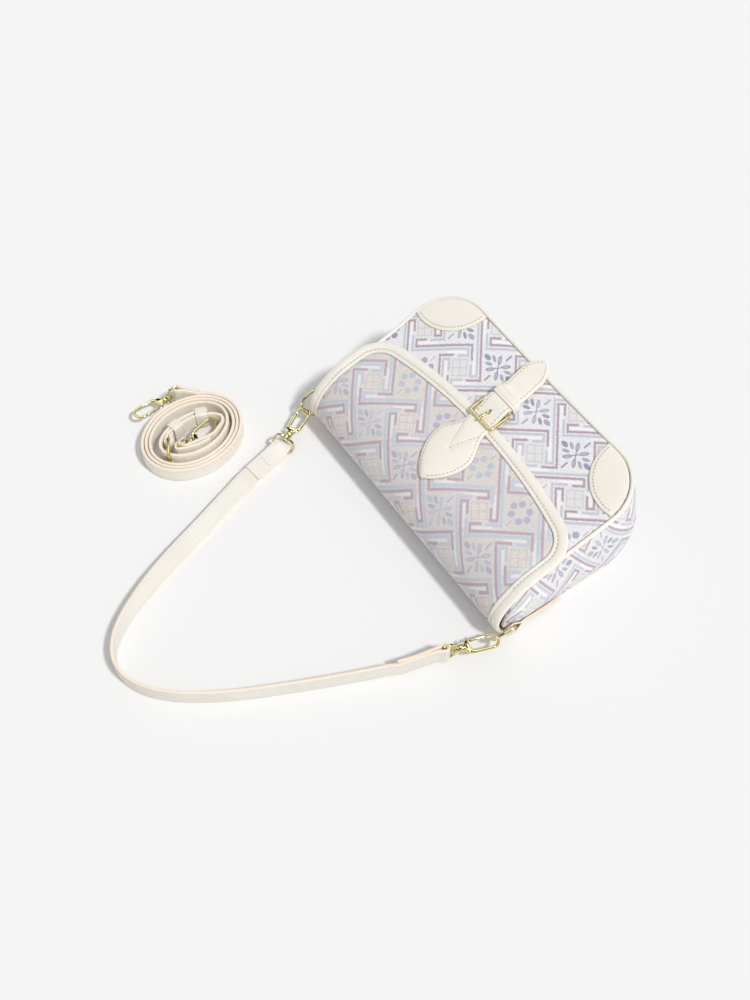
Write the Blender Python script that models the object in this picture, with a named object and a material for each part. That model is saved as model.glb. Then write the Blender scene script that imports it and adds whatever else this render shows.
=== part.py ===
"""Brocade clutch bag with a leather flap closure, a clip-on handle and a rolled long strap.

The bag lies on its back. X is its width, +Y runs to the mouth and the handle, +Z rises from the floor,
and the origin is the middle of the back panel. Sizes below are millimetres and degrees, and MM turns
them into metres.
"""

import math

import bmesh
import bpy
from mathutils import Matrix, Vector

MM = 0.001

# Bag body
WIDTH = 230.0
HEIGHT = 133.0
BASE_DEPTH = 75.0
FRONT_LEAN = 15.4
CORNER_RADIUS = 38.0
SKIN = 2.0
PIPING_RADIUS = 2.0
GAP = 0.3
FRONT_TOP_Y = 36.0
BACK_FLAT_Y = 46.0
SIDE_TOP_BACK_Y = 55.0
SIDE_TOP_FRONT_Y = 38.0
SIDE_BULGE = 8.0
BASE_BULGE = 4.0
LINING_THICKNESS = 0.8
LINING_TOP_DROP = 2.0

# Corner patches
PATCH_THICKNESS = 1.2
PATCH_SIDE_V = 41.0
PATCH_REACH = 43.0
PATCH_RADIUS = 22.0

# Flap
FLAP_OVERHANG = 2.4
FLAP_TIP_V = 55.0
FLAP_TIP_SAG = 10.0
FLAP_CORNER_RADIUS = 28.0
FLAP_RISE = 2.4
FLAP_LINING = 0.8
FLAP_CLOTH = 1.6
BINDING_WIDTH = 9.5
BINDING_PROUD = 0.3
FOLD_V = 105.0
FOLD_MIDDLE_Z = 20.0
FOLD_FRONT_PULL = 13.0
FOLD_UPPER_PULL = 16.0
FOLD_LOWER_PULL = 11.0
FOLD_BACK_PULL = 12.0
FOLD_STEPS = 8
HINGE_GAP = 0.5

# Buckled closure, measured along the flap and up from the front panel's middle
BELT_LEAN = 0.1
BELT_THICKNESS = 2.0
BELT_HALF_WIDTH = 10.3
LEAF_S = 88.0
LEAF_HALF_WIDTH = 19.5
LEAF_LENGTH = 30.0
LEAF_NECK_S = 64.0
BELT_POINT_S = 22.0
BELT_END_S = -1.0
FRAME_WIRE = 1.2
FRAME_HINGE_S = 42.0
FRAME_NOSE_S = 60.0
FRAME_CORNER_RADIUS = 2.6
CHAPE_THICKNESS = 1.2
CHAPE_HALF_WIDTH = 9.4
CHAPE_END_S = 8.0
CHAPE_W = 2.5
KEEPER_THICKNESS = 0.9
KEEPER_LOW_S = 30.6
KEEPER_HIGH_S = 38.0
TONGUE_RADIUS = 0.85
SLOT_HALF_WIDTH = 1.7
SLOT_END_S = 50.5
SNAP_S = 20.0
SNAP_RADIUS = 6.0
SNAP_NUB_RADIUS = 2.2

# Side tabs and D rings
TAB_TILT = 22.0
TAB_MIDDLE_Z = 13.5
TAB_WIDTH = 17.0
TAB_THICKNESS = 1.6
TAB_START_Y = 9.0
FLAP_EDGE_GAP = 0.2
RING_BAR_Y = 56.6
RING_WIRE = 1.25
RING_HALF_WIDTH = 10.1
RING_DEPTH = 14.5
RING_CORNER = 1.2
RING_LINK_T = -3.5
SWING_OUT = 10.4
SWING_DROP = 2.5

# Trigger hooks, measured from the eye's bar
EYE_WIRE = 1.1
EYE_HALF_WIDTH = 8.6
EYE_DEPTH = 8.2
BOSS_RADIUS = 2.7
BOSS_START = 6.6
BOSS_END = 9.9
SHANK_RADIUS = 1.05
SHANK_CLEARANCE = 0.3
HOOK_WIRE = 1.3
HOOK_RADIUS = 4.9
HOOK_ARC_A = 33.0
HOOK_NOSE_A = 30.8
GATE_PIVOT_A = 19.2
GATE_PIVOT_B = 3.9
GATE_RADIUS = 1.1
HOOK_SLACK = 0.8

# Handle
HANDLE_WIDTH = 14.0
HANDLE_THICKNESS = 2.2
HANDLE_REACH = 187.0
HANDLE_TILT = 25.0
HANDLE_FOLD = 33.0
HOOK_LEANS = (27.0, 19.0)
HANDLE_ROUTE = (
    (0.04, 0.22),
    (0.12, 0.45),
    (0.20, 0.67),
    (0.285, 0.855),
    (0.37, 0.965),
    (0.465, 1.008),
    (0.56, 0.98),
    (0.65, 0.89),
    (0.74, 0.735),
    (0.825, 0.535),
    (0.91, 0.31),
    (0.975, 0.12),
)

# Long strap, rolled up beside the bag
ROLL_CENTRE = (151.5, 152.5)
ROLL_TILT = 12.0
ROLL_LONG = 41.8
ROLL_SHORT = 34.4
ROLL_TURNS = 4.5
ROLL_START = -55.0
ROLL_PITCH = 2.9
ROLL_LOOSE_FROM = 2.6
ROLL_LOOSENING = 3.4
ROLL_STEPS = 26
ROLL_END_RUN = 50.0
ROLL_SQUASH = 3.0
ROLL_SQUASH_FROM = 3.4
INNER_ROUTE = (
    (3.2, -22.0),
    (-1.7, -25.8),
    (-6.7, -24.3),
    (-9.9, -19.5),
    (-13.6, -12.5),
    (-15.2, -5.0),
    (-15.3, 2.0),
    (-14.3, 9.0),
    (-10.2, 15.3),
)
LONG_WIDTH = 12.5
LONG_THICKNESS = 2.2
LONG_TAIL = 24.0
LONG_FOLD = 17.0
LOOP_THICKNESS = 1.0
LOOP_WIDTH = 9.0
LOOP_TURNS = (3.81, 3.965)
TIP_TURN = 4.01
SLIDER_TURN = 3.58
SLIDER_WIRE = 1.1
SLIDER_LENGTH = 16.0
SLIDER_CORNER = 1.2
SLIDER_TURN_OUT = 43.0
SLIDER_INSET = 4.4
SHORT_START_TURN = 3.74
INNER_HOOK_ROLL = 40.0
SHORT_FOLDS = (8.0, -24.0)
PIN_RADIUS = 0.7
PIN_SLOT = 2.4

COS = math.cos(math.radians(FRONT_LEAN))
SIN = math.sin(math.radians(FRONT_LEAN))
BOTTOM_Y = -HEIGHT / 2
FLAP_HALF_WIDTH = WIDTH / 2 + FLAP_OVERHANG
TOP_Y = HEIGHT / 2
PANEL_INSET = 2 * PIPING_RADIUS + GAP
FLAP_OUT = FLAP_RISE + FLAP_LINING + GAP + FLAP_CLOTH
BELT_ON_FLAP = FLAP_OUT + BINDING_PROUD + GAP

BROCADE = (0.80, 0.79, 0.82)
CREAM = (0.93, 0.89, 0.82)
GOLD = (0.86, 0.74, 0.48)
SATIN = (0.86, 0.84, 0.80)


def clear_scene():
    for obj in list(bpy.data.objects):
        bpy.data.objects.remove(obj, do_unlink=True)


def material(name, colour, roughness, metallic=0.0):
    made = bpy.data.materials.new(name)
    made.use_nodes = True
    shader = made.node_tree.nodes["Principled BSDF"]
    shader.inputs["Base Color"].default_value = (*colour, 1.0)
    shader.inputs["Roughness"].default_value = roughness
    shader.inputs["Metallic"].default_value = metallic
    return made


def cloth_finish(name):
    return material(name, BROCADE, 0.7)


def leather_finish(name):
    return material(name, CREAM, 0.5)


def metal_finish(name):
    return material(name, GOLD, 0.22, 1.0)


def lining_finish(name):
    return material(name, SATIN, 0.6)


def add_object(name, mesh, finish, origin=(0.0, 0.0, 0.0), parent=None):
    """Puts a mesh, whose points are world places, into the scene with its origin on the given point."""
    obj = bpy.data.objects.new(name, mesh)
    place = Vector(origin) * MM
    mesh.transform(Matrix.Translation(-place))
    obj.location = place
    mesh.materials.clear()
    mesh.materials.append(finish(name))
    bpy.context.scene.collection.objects.link(obj)
    if parent:
        obj.parent = parent
        obj.matrix_parent_inverse = Matrix.Translation(-parent.location)
    return obj


def empty(name, origin):
    obj = bpy.data.objects.new(name, None)
    obj.location = Vector(origin) * MM
    bpy.context.scene.collection.objects.link(obj)
    return obj


def closed_mesh(name, points, faces, smooth_angle=35.0):
    mesh = bpy.data.meshes.new(name)
    mesh.from_pydata([tuple(Vector(point) * MM) for point in points], [], faces)
    work = bmesh.new()
    work.from_mesh(mesh)
    bmesh.ops.recalc_face_normals(work, faces=work.faces)
    work.to_mesh(mesh)
    work.free()
    mesh.shade_smooth()
    mesh.set_sharp_from_angle(angle=math.radians(smooth_angle))
    return mesh


def loft(name, sections):
    """A closed solid through sections that hold the same number of points, capped at both ends."""
    count = len(sections[0])
    points = [point for section in sections for point in section]
    faces = [list(range(count)), [len(points) - 1 - i for i in range(count)]]
    for row in range(len(sections) - 1):
        for i in range(count):
            here, following = row * count + i, row * count + (i + 1) % count
            faces.append([here, following, following + count, here + count])
    return closed_mesh(name, points, faces)


def ring_loft(name, sections):
    """A closed solid through sections that come round to the first again."""
    count = len(sections[0])
    points = [point for section in sections for point in section]
    faces = []
    for row in range(len(sections)):
        low, high = row * count, (row + 1) % len(sections) * count
        for i in range(count):
            j = (i + 1) % count
            faces.append([low + i, low + j, high + j, high + i])
    return closed_mesh(name, points, faces)


def slab(name, outer, inner):
    """A closed sheet between two grids of points of the same shape."""
    rows, columns = len(outer), len(outer[0])
    points = [point for grid in (outer, inner) for row in grid for point in row]
    shift = rows * columns
    rim = [(0, c) for c in range(columns)]
    rim += [(r, columns - 1) for r in range(1, rows)]
    rim += [(rows - 1, c) for c in range(columns - 2, -1, -1)]
    rim += [(r, 0) for r in range(rows - 2, 0, -1)]
    faces = []
    for r in range(rows - 1):
        for c in range(columns - 1):
            quad = [r * columns + c, r * columns + c + 1, (r + 1) * columns + c + 1, (r + 1) * columns + c]
            faces.append(quad)
            faces.append([corner + shift for corner in reversed(quad)])
    edge = [r * columns + c for r, c in rim]
    for here, following in zip(edge, edge[1:] + edge[:1]):
        faces.append([here, here + shift, following + shift, following])
    return closed_mesh(name, points, faces)


def plate(name, outline, place, low, high):
    """An outline of (x, v) points made solid between two heights of the surface that place() describes."""
    count = len(outline)
    points = [place(x, v, low) for x, v in outline] + [place(x, v, high) for x, v in outline]
    faces = [list(range(count)), list(range(count, 2 * count))]
    for i in range(count):
        j = (i + 1) % count
        faces.append([i, j, j + count, i + count])
    return closed_mesh(name, points, faces)


def draped(name, outline, steps, half_width, place, low, high):
    """A plate whose last edge goes on round a bend, through the given steps, at the given half width."""
    flat = len(outline)
    strip = [(side * half_width, s) for s in steps for side in (1, -1)]
    points = [place(x, s, height) for height in (low, high) for x, s in outline + strip]
    shift = flat + len(strip)
    left = [flat - 1] + [flat + 2 * i + 1 for i in range(len(steps))]
    right = [0] + [flat + 2 * i for i in range(len(steps))]
    faces = [list(range(flat))]
    for i in range(len(steps)):
        faces.append([right[i], right[i + 1], left[i + 1], left[i]])
    faces += [[corner + shift for corner in face] for face in faces]
    rim = list(range(flat)) + left[1:] + list(reversed(right[1:]))
    for here, following in zip(rim, rim[1:] + rim[:1]):
        faces.append([here, following, following + shift, here + shift])
    return closed_mesh(name, points, faces)


def ellipse_section(centre, across, up, half_across, half_up, sides=8):
    return [
        centre
        + across * (half_across * math.cos(math.tau * (i + 0.5) / sides))
        + up * (half_up * math.sin(math.tau * (i + 0.5) / sides))
        for i in range(sides)
    ]


def wire_mesh(name, path, radius, closed=True, sides=8):
    """A round bar along a path, through a curve with a bevel."""
    curve = bpy.data.curves.new(name, "CURVE")
    curve.dimensions = "3D"
    curve.bevel_depth = radius * MM
    curve.bevel_resolution = (sides - 4) // 2
    curve.use_fill_caps = True
    spline = curve.splines.new("POLY")
    spline.points.add(len(path) - 1)
    for point, place in zip(spline.points, path):
        point.co = (*(Vector(place) * MM), 1.0)
    spline.use_cyclic_u = closed
    holder = bpy.data.objects.new(name, curve)
    bpy.context.scene.collection.objects.link(holder)
    graph = bpy.context.evaluated_depsgraph_get()
    mesh = bpy.data.meshes.new_from_object(holder.evaluated_get(graph))
    bpy.data.objects.remove(holder, do_unlink=True)
    work = bmesh.new()
    work.from_mesh(mesh)
    bmesh.ops.remove_doubles(work, verts=work.verts, dist=0.01 * MM)
    work.to_mesh(mesh)
    work.free()
    mesh.shade_smooth()
    mesh.set_sharp_from_angle(angle=math.radians(50.0))
    return mesh


def combine(mesh, other, operation):
    """The first mesh joined with, or cut by, the second."""
    holders = []
    for part in (mesh, other):
        holder = bpy.data.objects.new(part.name, part)
        bpy.context.scene.collection.objects.link(holder)
        holders.append(holder)
    cut = holders[0].modifiers.new("cut", "BOOLEAN")
    cut.operation = operation
    cut.solver = "EXACT"
    cut.object = holders[1]
    graph = bpy.context.evaluated_depsgraph_get()
    made = bpy.data.meshes.new_from_object(holders[0].evaluated_get(graph))
    for holder in holders:
        bpy.data.objects.remove(holder, do_unlink=True)
    made.set_sharp_from_angle(angle=math.radians(35.0))
    return made


def disc_mesh(name, place, s, low, high, radius, sides=20):
    return plate(name, arc((0, s), radius, 0, 360, sides)[:-1], place, low, high)


def arc(centre, radius, start, end, steps):
    """Points of a circle's arc in a plane, both ends included."""
    angles = [math.radians(start + (end - start) * i / steps) for i in range(steps + 1)]
    return [(centre[0] + radius * math.cos(a), centre[1] + radius * math.sin(a)) for a in angles]


def rounded_box(half_x, low, high, radius, steps=4):
    """A closed rectangle with round corners, centred on x = 0."""
    x, down, up = half_x - radius, low + radius, high - radius
    corners = [((x, up), 0), ((-x, up), 90), ((-x, down), 180), ((x, down), 270)]
    return [point for centre, start in corners for point in arc(centre, radius, start, start + 90, steps)]


def bezier(points, steps):
    a, b, c, d = (Vector(point) for point in points)
    found = []
    for i in range(steps + 1):
        t = i / steps
        u = 1 - t
        found.append(a * u**3 + b * 3 * u * u * t + c * 3 * u * t * t + d * t**3)
    return found


def spline_points(points, step):
    """Points of a smooth curve through the given ones, about a step apart."""
    knots = [points[0] * 2 - points[1], *points, points[-1] * 2 - points[-2]]
    found = []
    for a, b, c, d in zip(knots, knots[1:], knots[2:], knots[3:]):
        parts = max(1, round((c - b).length / step))
        for i in range(parts):
            t = i / parts
            slope, bend, twist = c - a, a * 2 - b * 5 + c * 4 - d, b * 3 - a - c * 3 + d
            found.append(b + (slope * t + bend * t * t + twist * t**3) / 2)
    return [*found, points[-1].copy()]


def front_point(x, v, w):
    """A place on the leaning front: v runs up it from the bottom edge, and w stands off it."""
    return Vector((x, BOTTOM_Y + v * COS + w * SIN, BASE_DEPTH - v * SIN + w * COS))


def up_front(y):
    """How far up the leaning front a place with this y lies."""
    return (y - BOTTOM_Y) / COS


def u_path(inset, top_y, corner_steps=8, side_steps=3, base_steps=4):
    """The bag's outline seen from the front, from one top corner round the base to the other."""
    x = WIDTH / 2 - inset
    low = BOTTOM_Y + inset
    radius = CORNER_RADIUS - inset
    side = [(x, top_y + (low + radius - top_y) * i / side_steps) for i in range(side_steps)]
    corner = arc((x - radius, low + radius), radius, 0, -90, corner_steps)
    right = side + corner
    base = [((x - radius) * (1 - 2 * i / base_steps), low) for i in range(1, base_steps)]
    return right + base + [(-px, py) for px, py in reversed(right)]


def u_normals(path):
    """The outward direction at each point of a u_path."""
    found = []
    for i, point in enumerate(path):
        before, after = path[max(i - 1, 0)], path[min(i + 1, len(path) - 1)]
        found.append(Vector((before[1] - after[1], after[0] - before[0], 0)).normalized())
    return [normal if normal.xy.dot(point) > 0 else -normal for normal, point in zip(found, path)]


def fold_line():
    """The flap's outer face seen from the side: from the front, round the fold, to the flat back."""
    start = front_point(0, FOLD_V, FLAP_OUT).yz
    top = Vector((TOP_Y, FOLD_MIDDLE_Z))
    end = Vector((BACK_FLAT_Y, 0))
    leave = start + Vector((COS, -SIN)) * FOLD_FRONT_PULL
    front = bezier((start, leave, top + Vector((0, FOLD_UPPER_PULL)), top), FOLD_STEPS)
    arrive = end + Vector((FOLD_BACK_PULL, 0))
    back = bezier((top, top - Vector((0, FOLD_LOWER_PULL)), arrive, end), FOLD_STEPS)
    return front + back[1:]


FOLD = fold_line()
FOLD_S = [FOLD_V]
for before, after in zip(FOLD, FOLD[1:]):
    FOLD_S.append(FOLD_S[-1] + (after - before).length)
FRONT_HINGE_S = FOLD_S[FOLD_STEPS // 2]
TOP_HINGE_S = FOLD_S[FOLD_STEPS + FOLD_STEPS // 2]


def on_flap(x, s, w):
    """A place on the flap: s runs up the front, round the fold and down the back; w stands off the front."""
    if s <= FOLD_V:
        return front_point(x, s, w)
    rise = w - FLAP_OUT
    if s >= FOLD_S[-1]:
        return Vector((x, BACK_FLAT_Y - (s - FOLD_S[-1]), -rise))
    i = max(k for k in range(len(FOLD) - 1) if FOLD_S[k] <= s)
    share = (s - FOLD_S[i]) / (FOLD_S[i + 1] - FOLD_S[i])
    tangents = []
    for k in (i, i + 1):
        tangents.append((FOLD[min(k + 1, len(FOLD) - 1)] - FOLD[max(k - 1, 0)]).normalized())
    tangents[0] = Vector((COS, -SIN)) if i == 0 else tangents[0]
    tangent = tangents[0].lerp(tangents[1], share).normalized()
    place = FOLD[i].lerp(FOLD[i + 1], share) + Vector((-tangent.y, tangent.x)) * rise
    return Vector((x, place.x, place.y))


def fold_steps(start, end):
    """The fold's own stations between two places, and both places."""
    low, high = min(start, end), max(start, end)
    inside = [s for s in FOLD_S if low + 0.4 < s < high - 0.4]
    steps = [low, *inside, high]
    return steps if start < end else steps[::-1]


def back_panel():
    flat_s = FOLD_S[-1] + BACK_FLAT_Y
    outline = [(-x, flat_s - y) for x, y in u_path(PANEL_INSET, BACK_FLAT_Y, side_steps=1, base_steps=1)]
    steps = fold_steps(FOLD_S[-1], TOP_HINGE_S + HINGE_GAP / 2)[1:]
    half = WIDTH / 2 - PANEL_INSET
    mesh = draped("back_panel", outline, steps, -half, on_flap, FLAP_OUT - SKIN, FLAP_OUT)
    return add_object("back_panel", mesh, cloth_finish)


def front_panel():
    flat = u_path(PANEL_INSET, FRONT_TOP_Y, side_steps=1, base_steps=1)
    outline = [(x, up_front(y)) for x, y in flat]
    mesh = plate("front_panel", outline, front_point, -SKIN / 2, SKIN / 2)
    hole = disc_mesh("socket_hole", belt_point, SNAP_S, -SKIN, SKIN, SNAP_RADIUS + GAP)
    return add_object("front_panel", combine(mesh, hole, "DIFFERENCE"), cloth_finish)


def gusset_grid(stand_off):
    """The bulging band between the two seams, moved outwards by stand_off from its middle."""
    back = u_path(PIPING_RADIUS, SIDE_TOP_BACK_Y)
    front = u_path(PIPING_RADIUS, SIDE_TOP_FRONT_Y)
    low_z = 2 * PIPING_RADIUS + GAP
    rows = []
    depth_steps = 7
    for k in range(depth_steps + 1):
        share = k / depth_steps
        row = []
        for back_xy, front_xy, normal in zip(back, front, u_normals(back)):
            start = Vector((*back_xy, low_z))
            end = front_point(front_xy[0], up_front(front_xy[1]), -PIPING_RADIUS - GAP)
            bulge = BASE_BULGE + (SIDE_BULGE - BASE_BULGE) * abs(normal.x)
            row.append(start.lerp(end, share) + normal * (stand_off + bulge * math.sin(math.pi * share)))
        rows.append(row)
    return rows


def gusset():
    mesh = slab("gusset", gusset_grid(SKIN / 2), gusset_grid(-SKIN / 2))
    return add_object("gusset", mesh, cloth_finish)


def pipings():
    back = [Vector((x, y, PIPING_RADIUS)) for x, y in u_path(PIPING_RADIUS, BACK_FLAT_Y)]
    add_object("piping_back", wire_mesh("piping_back", back, PIPING_RADIUS, closed=False), leather_finish)
    front = [front_point(x, up_front(y), 0) for x, y in u_path(PIPING_RADIUS, FRONT_TOP_Y)]
    add_object("piping_front", wire_mesh("piping_front", front, PIPING_RADIUS, closed=False), leather_finish)


def lining_block(name, inset, back_z, front_w, top_out):
    """The inside of the bag as a solid block, from the back to the leaning front."""
    back = u_path(inset, BACK_FLAT_Y - LINING_TOP_DROP + top_out, side_steps=1, base_steps=1)
    front = u_path(inset, FRONT_TOP_Y - LINING_TOP_DROP + top_out, side_steps=1, base_steps=1)
    low = [Vector((x, y, back_z)) for x, y in back]
    high = [front_point(x, up_front(y), front_w) for x, y in front]
    return loft(name, [low, high])


def lining():
    outer = lining_block("lining", PANEL_INSET + GAP, SKIN + GAP, -SKIN / 2 - GAP, 0)
    wall = LINING_THICKNESS
    low, high = SKIN + GAP + wall, -SKIN / 2 - GAP - wall
    inner = lining_block("lining_space", PANEL_INSET + GAP + wall, low, high, LINING_TOP_DROP * 3)
    return add_object("lining", combine(outer, inner, "DIFFERENCE"), lining_finish)


def corner_patches():
    """A patch on each lower corner of the front: the panel's own corner, closed by a rounded inner corner."""
    x = WIDTH / 2 - PANEL_INSET
    low = BOTTOM_Y + PANEL_INSET
    radius = CORNER_RADIUS - PANEL_INSET
    outer = arc((x - radius, low + radius), radius, -90, 0, 8)
    inner_x, inner_y = x - PATCH_REACH, low + PATCH_SIDE_V
    inner = arc((inner_x + PATCH_RADIUS, inner_y - PATCH_RADIUS), PATCH_RADIUS, 95, 175, 7)
    for name, side in (("patch_right", 1), ("patch_left", -1)):
        outline = [(side * px, up_front(py)) for px, py in outer + inner]
        low_w = SKIN / 2 + GAP
        mesh = plate(name, outline, front_point, low_w, low_w + PATCH_THICKNESS)
        add_object(name, mesh, leather_finish)


def flap_outline(trim):
    """The flap's edge, trimmed by a width, from the fold on one side round the tip to the other."""
    half = FLAP_HALF_WIDTH - trim
    radius = FLAP_CORNER_RADIUS - trim
    chord = half - radius
    full_chord = FLAP_HALF_WIDTH - FLAP_CORNER_RADIUS
    tip_radius = (full_chord**2 + FLAP_TIP_SAG**2) / (2 * FLAP_TIP_SAG) - trim
    tip = FLAP_TIP_V + trim
    angle = math.asin(chord / tip_radius)
    turn = math.degrees(angle)
    corner_v = tip + tip_radius - (tip_radius - radius) * math.cos(angle)
    corner_x = (tip_radius - radius) * math.sin(angle)
    widen = half - (corner_x + radius)
    tip_arc = arc((0, tip + tip_radius), tip_radius, -90, -90 + turn, 6)
    corner = arc((corner_x, corner_v), radius, -90 + turn, 0, 7)
    side = [(0, tip)]
    side += [(px + widen * min(1.0, px / corner_x), pv) for px, pv in tip_arc[1:-1] + corner]
    right = [(half, FOLD_V)] + side[:0:-1]
    return right + [(0, tip)] + [(-px, pv) for px, pv in reversed(right)]


def flap(front_turn, top_turn):
    """The cloth flap in two panels that meet at the fold's front hinge, its lining and its edging."""
    half = FLAP_HALF_WIDTH - BINDING_WIDTH - GAP
    cloth_low = FLAP_RISE + FLAP_LINING + GAP
    end = FRONT_HINGE_S - HINGE_GAP / 2
    steps = fold_steps(FOLD_V, end)[1:]
    outline = flap_outline(BINDING_WIDTH + GAP)
    mesh = draped("flap_front", outline, steps, half, on_flap, cloth_low, FLAP_OUT)
    add_object("flap_front", mesh, cloth_finish, parent=front_turn)
    mesh = draped("flap_lining", outline, steps, half, on_flap, FLAP_RISE, FLAP_RISE + FLAP_LINING)
    add_object("flap_lining", mesh, lining_finish, parent=front_turn)

    def edge(trim):
        side = [(FLAP_HALF_WIDTH - trim, s) for s in fold_steps(end, FOLD_V)[:-1]]
        return side + flap_outline(trim) + [(-x, s) for x, s in reversed(side)]

    both = list(zip(edge(0), edge(BINDING_WIDTH)))
    proud = FLAP_OUT + BINDING_PROUD
    top, under = ([[on_flap(x, s, w) for x, s in pair] for pair in both] for w in (proud, FLAP_RISE))
    add_object("flap_binding", slab("flap_binding", top, under), leather_finish, parent=front_turn)

    steps = fold_steps(FRONT_HINGE_S + HINGE_GAP / 2, TOP_HINGE_S - HINGE_GAP / 2)
    top, under = ([[on_flap(x, s, w) for x in (-half, half)] for s in steps] for w in (FLAP_OUT, cloth_low))
    add_object("flap_top", slab("flap_top", top, under), cloth_finish, parent=top_turn)
    for name, side in (("flap_top_binding_right", 1), ("flap_top_binding_left", -1)):
        xs = (side * (FLAP_HALF_WIDTH - BINDING_WIDTH), side * FLAP_HALF_WIDTH)
        top, under = ([[on_flap(x, s, w) for x in xs] for s in steps] for w in (proud, cloth_low - GAP))
        add_object(name, slab(name, top, under), leather_finish, parent=top_turn)


def belt_point(x, s, w):
    """A place on the closure belt, which leans a little across the flap."""
    return on_flap(x + BELT_LEAN * (LEAF_S - s), s, w)


HINGE_BAR_W = CHAPE_W + CHAPE_THICKNESS + GAP + FRAME_WIRE
NOSE_BAR_W = BELT_ON_FLAP + BELT_THICKNESS + GAP + FRAME_WIRE
BELT_ON_BAR = HINGE_BAR_W + FRAME_WIRE + GAP + CHAPE_THICKNESS + GAP
BELT_ON_CHAPE = CHAPE_W + 2 * CHAPE_THICKNESS + 2 * GAP
BELT_LOW = CHAPE_W + CHAPE_THICKNESS + GAP


def belt_half_width(s):
    if s >= LEAF_S:
        return LEAF_HALF_WIDTH * max(0.04, 1 - ((s - LEAF_S) / LEAF_LENGTH) ** 1.9) ** 0.75
    if s >= LEAF_NECK_S:
        share = (LEAF_S - s) / (LEAF_S - LEAF_NECK_S)
        return BELT_HALF_WIDTH + (LEAF_HALF_WIDTH - BELT_HALF_WIDTH) * (1 + math.cos(math.pi * share)) / 2
    if s >= BELT_POINT_S:
        return BELT_HALF_WIDTH
    share = (BELT_POINT_S - s) / (BELT_POINT_S - BELT_END_S)
    return BELT_HALF_WIDTH * max(0.02, 1 - share**2.2) ** 0.6


def belt_low(s):
    """The height of the belt's underside: on the flap, over the bar, through the keeper, on the front."""
    stations = (
        (BELT_END_S, BELT_LOW),
        (KEEPER_LOW_S - 5, BELT_LOW),
        (KEEPER_LOW_S, BELT_ON_CHAPE),
        (KEEPER_HIGH_S + GAP, BELT_ON_CHAPE),
        (FRAME_HINGE_S - 1, BELT_ON_BAR),
        (FRAME_HINGE_S + 1.5, BELT_ON_BAR),
        (FRAME_NOSE_S - 2, BELT_ON_FLAP),
        (LEAF_S + LEAF_LENGTH, BELT_ON_FLAP),
    )
    for (low_s, low_w), (high_s, high_w) in zip(stations, stations[1:]):
        if s <= high_s:
            share = max(0.0, (s - low_s) / (high_s - low_s))
            return low_w + (high_w - low_w) * share
    return stations[-1][1]


def closure_belt(parent):
    leaf = [LEAF_S + LEAF_LENGTH * share for share in (1, 0.985, 0.94, 0.86, 0.75, 0.6, 0.4, 0.2, 0)]
    neck = [LEAF_S + (LEAF_NECK_S - LEAF_S) * share for share in (0.25, 0.5, 0.75, 1)]
    middle = [FRAME_NOSE_S - 2, 54, 50, 46, FRAME_HINGE_S + 1.5, FRAME_HINGE_S - 1, KEEPER_HIGH_S + GAP]
    middle += [KEEPER_LOW_S, KEEPER_LOW_S - 5, BELT_POINT_S]
    point = [BELT_POINT_S + (BELT_END_S - BELT_POINT_S) * share for share in (0.3, 0.55, 0.75, 0.88, 0.96, 1)]
    sections = []
    for s in leaf + neck + middle + point:
        half, low = belt_half_width(s), belt_low(s)
        corners = ((-half, low), (half, low), (half, low + BELT_THICKNESS), (-half, low + BELT_THICKNESS))
        sections.append([belt_point(x, s, w) for x, w in corners])
    mesh = loft("closure_belt", sections)
    slot = slot_cutter(FRAME_HINGE_S + 1.4, BELT_ON_FLAP - 2, BELT_ON_BAR + 2 * BELT_THICKNESS)
    add_object("closure_belt", combine(mesh, slot, "DIFFERENCE"), leather_finish, parent=parent)


def slot_cutter(low_s, low_w, high_w):
    half = SLOT_HALF_WIDTH
    outline = [(-half, low_s), (half, low_s), (half, SLOT_END_S), (-half, SLOT_END_S)]
    return plate("slot", outline, belt_point, low_w, high_w)


def band_section(centre, across, normal, width, thickness):
    x, n = across * (width / 2), normal * (thickness / 2)
    return [centre - x - n, centre + x - n, centre + x + n, centre - x + n]


def belt_band(name, path, half_width, thickness):
    """A thin strap that follows (s, w) points of the closure, all at one width."""
    sections = []
    for i, (s, w) in enumerate(path):
        before, after = path[max(i - 1, 0)], path[min(i + 1, len(path) - 1)]
        run = Vector((after[0] - before[0], after[1] - before[1])).normalized() * (thickness / 2)
        sections.append(
            [
                belt_point(-half_width, s + run.y, w - run.x),
                belt_point(half_width, s + run.y, w - run.x),
                belt_point(half_width, s - run.y, w + run.x),
                belt_point(-half_width, s - run.y, w + run.x),
            ]
        )
    return loft(name, sections)


def buckle_chape(parent):
    """The short strap that holds the buckle's bar and the keeper, under the closure belt."""
    radius = FRAME_WIRE + GAP + CHAPE_THICKNESS / 2
    low = CHAPE_W + CHAPE_THICKNESS / 2
    second = low + CHAPE_THICKNESS + GAP
    path = [(CHAPE_END_S, low), (FRAME_HINGE_S - 3, low)]
    path += arc((FRAME_HINGE_S, HINGE_BAR_W), radius, -90, 110, 8)
    path += [(KEEPER_HIGH_S + 1.2, second + 0.4), (KEEPER_HIGH_S - 0.5, second)]
    path += [(KEEPER_LOW_S + 0.8, second)]
    mesh = belt_band("buckle_chape", path, CHAPE_HALF_WIDTH, CHAPE_THICKNESS)
    slot = slot_cutter(FRAME_HINGE_S - 4.0, CHAPE_W - 1, BELT_ON_BAR + 2)
    add_object("buckle_chape", combine(mesh, slot, "DIFFERENCE"), leather_finish, parent=parent)


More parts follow.
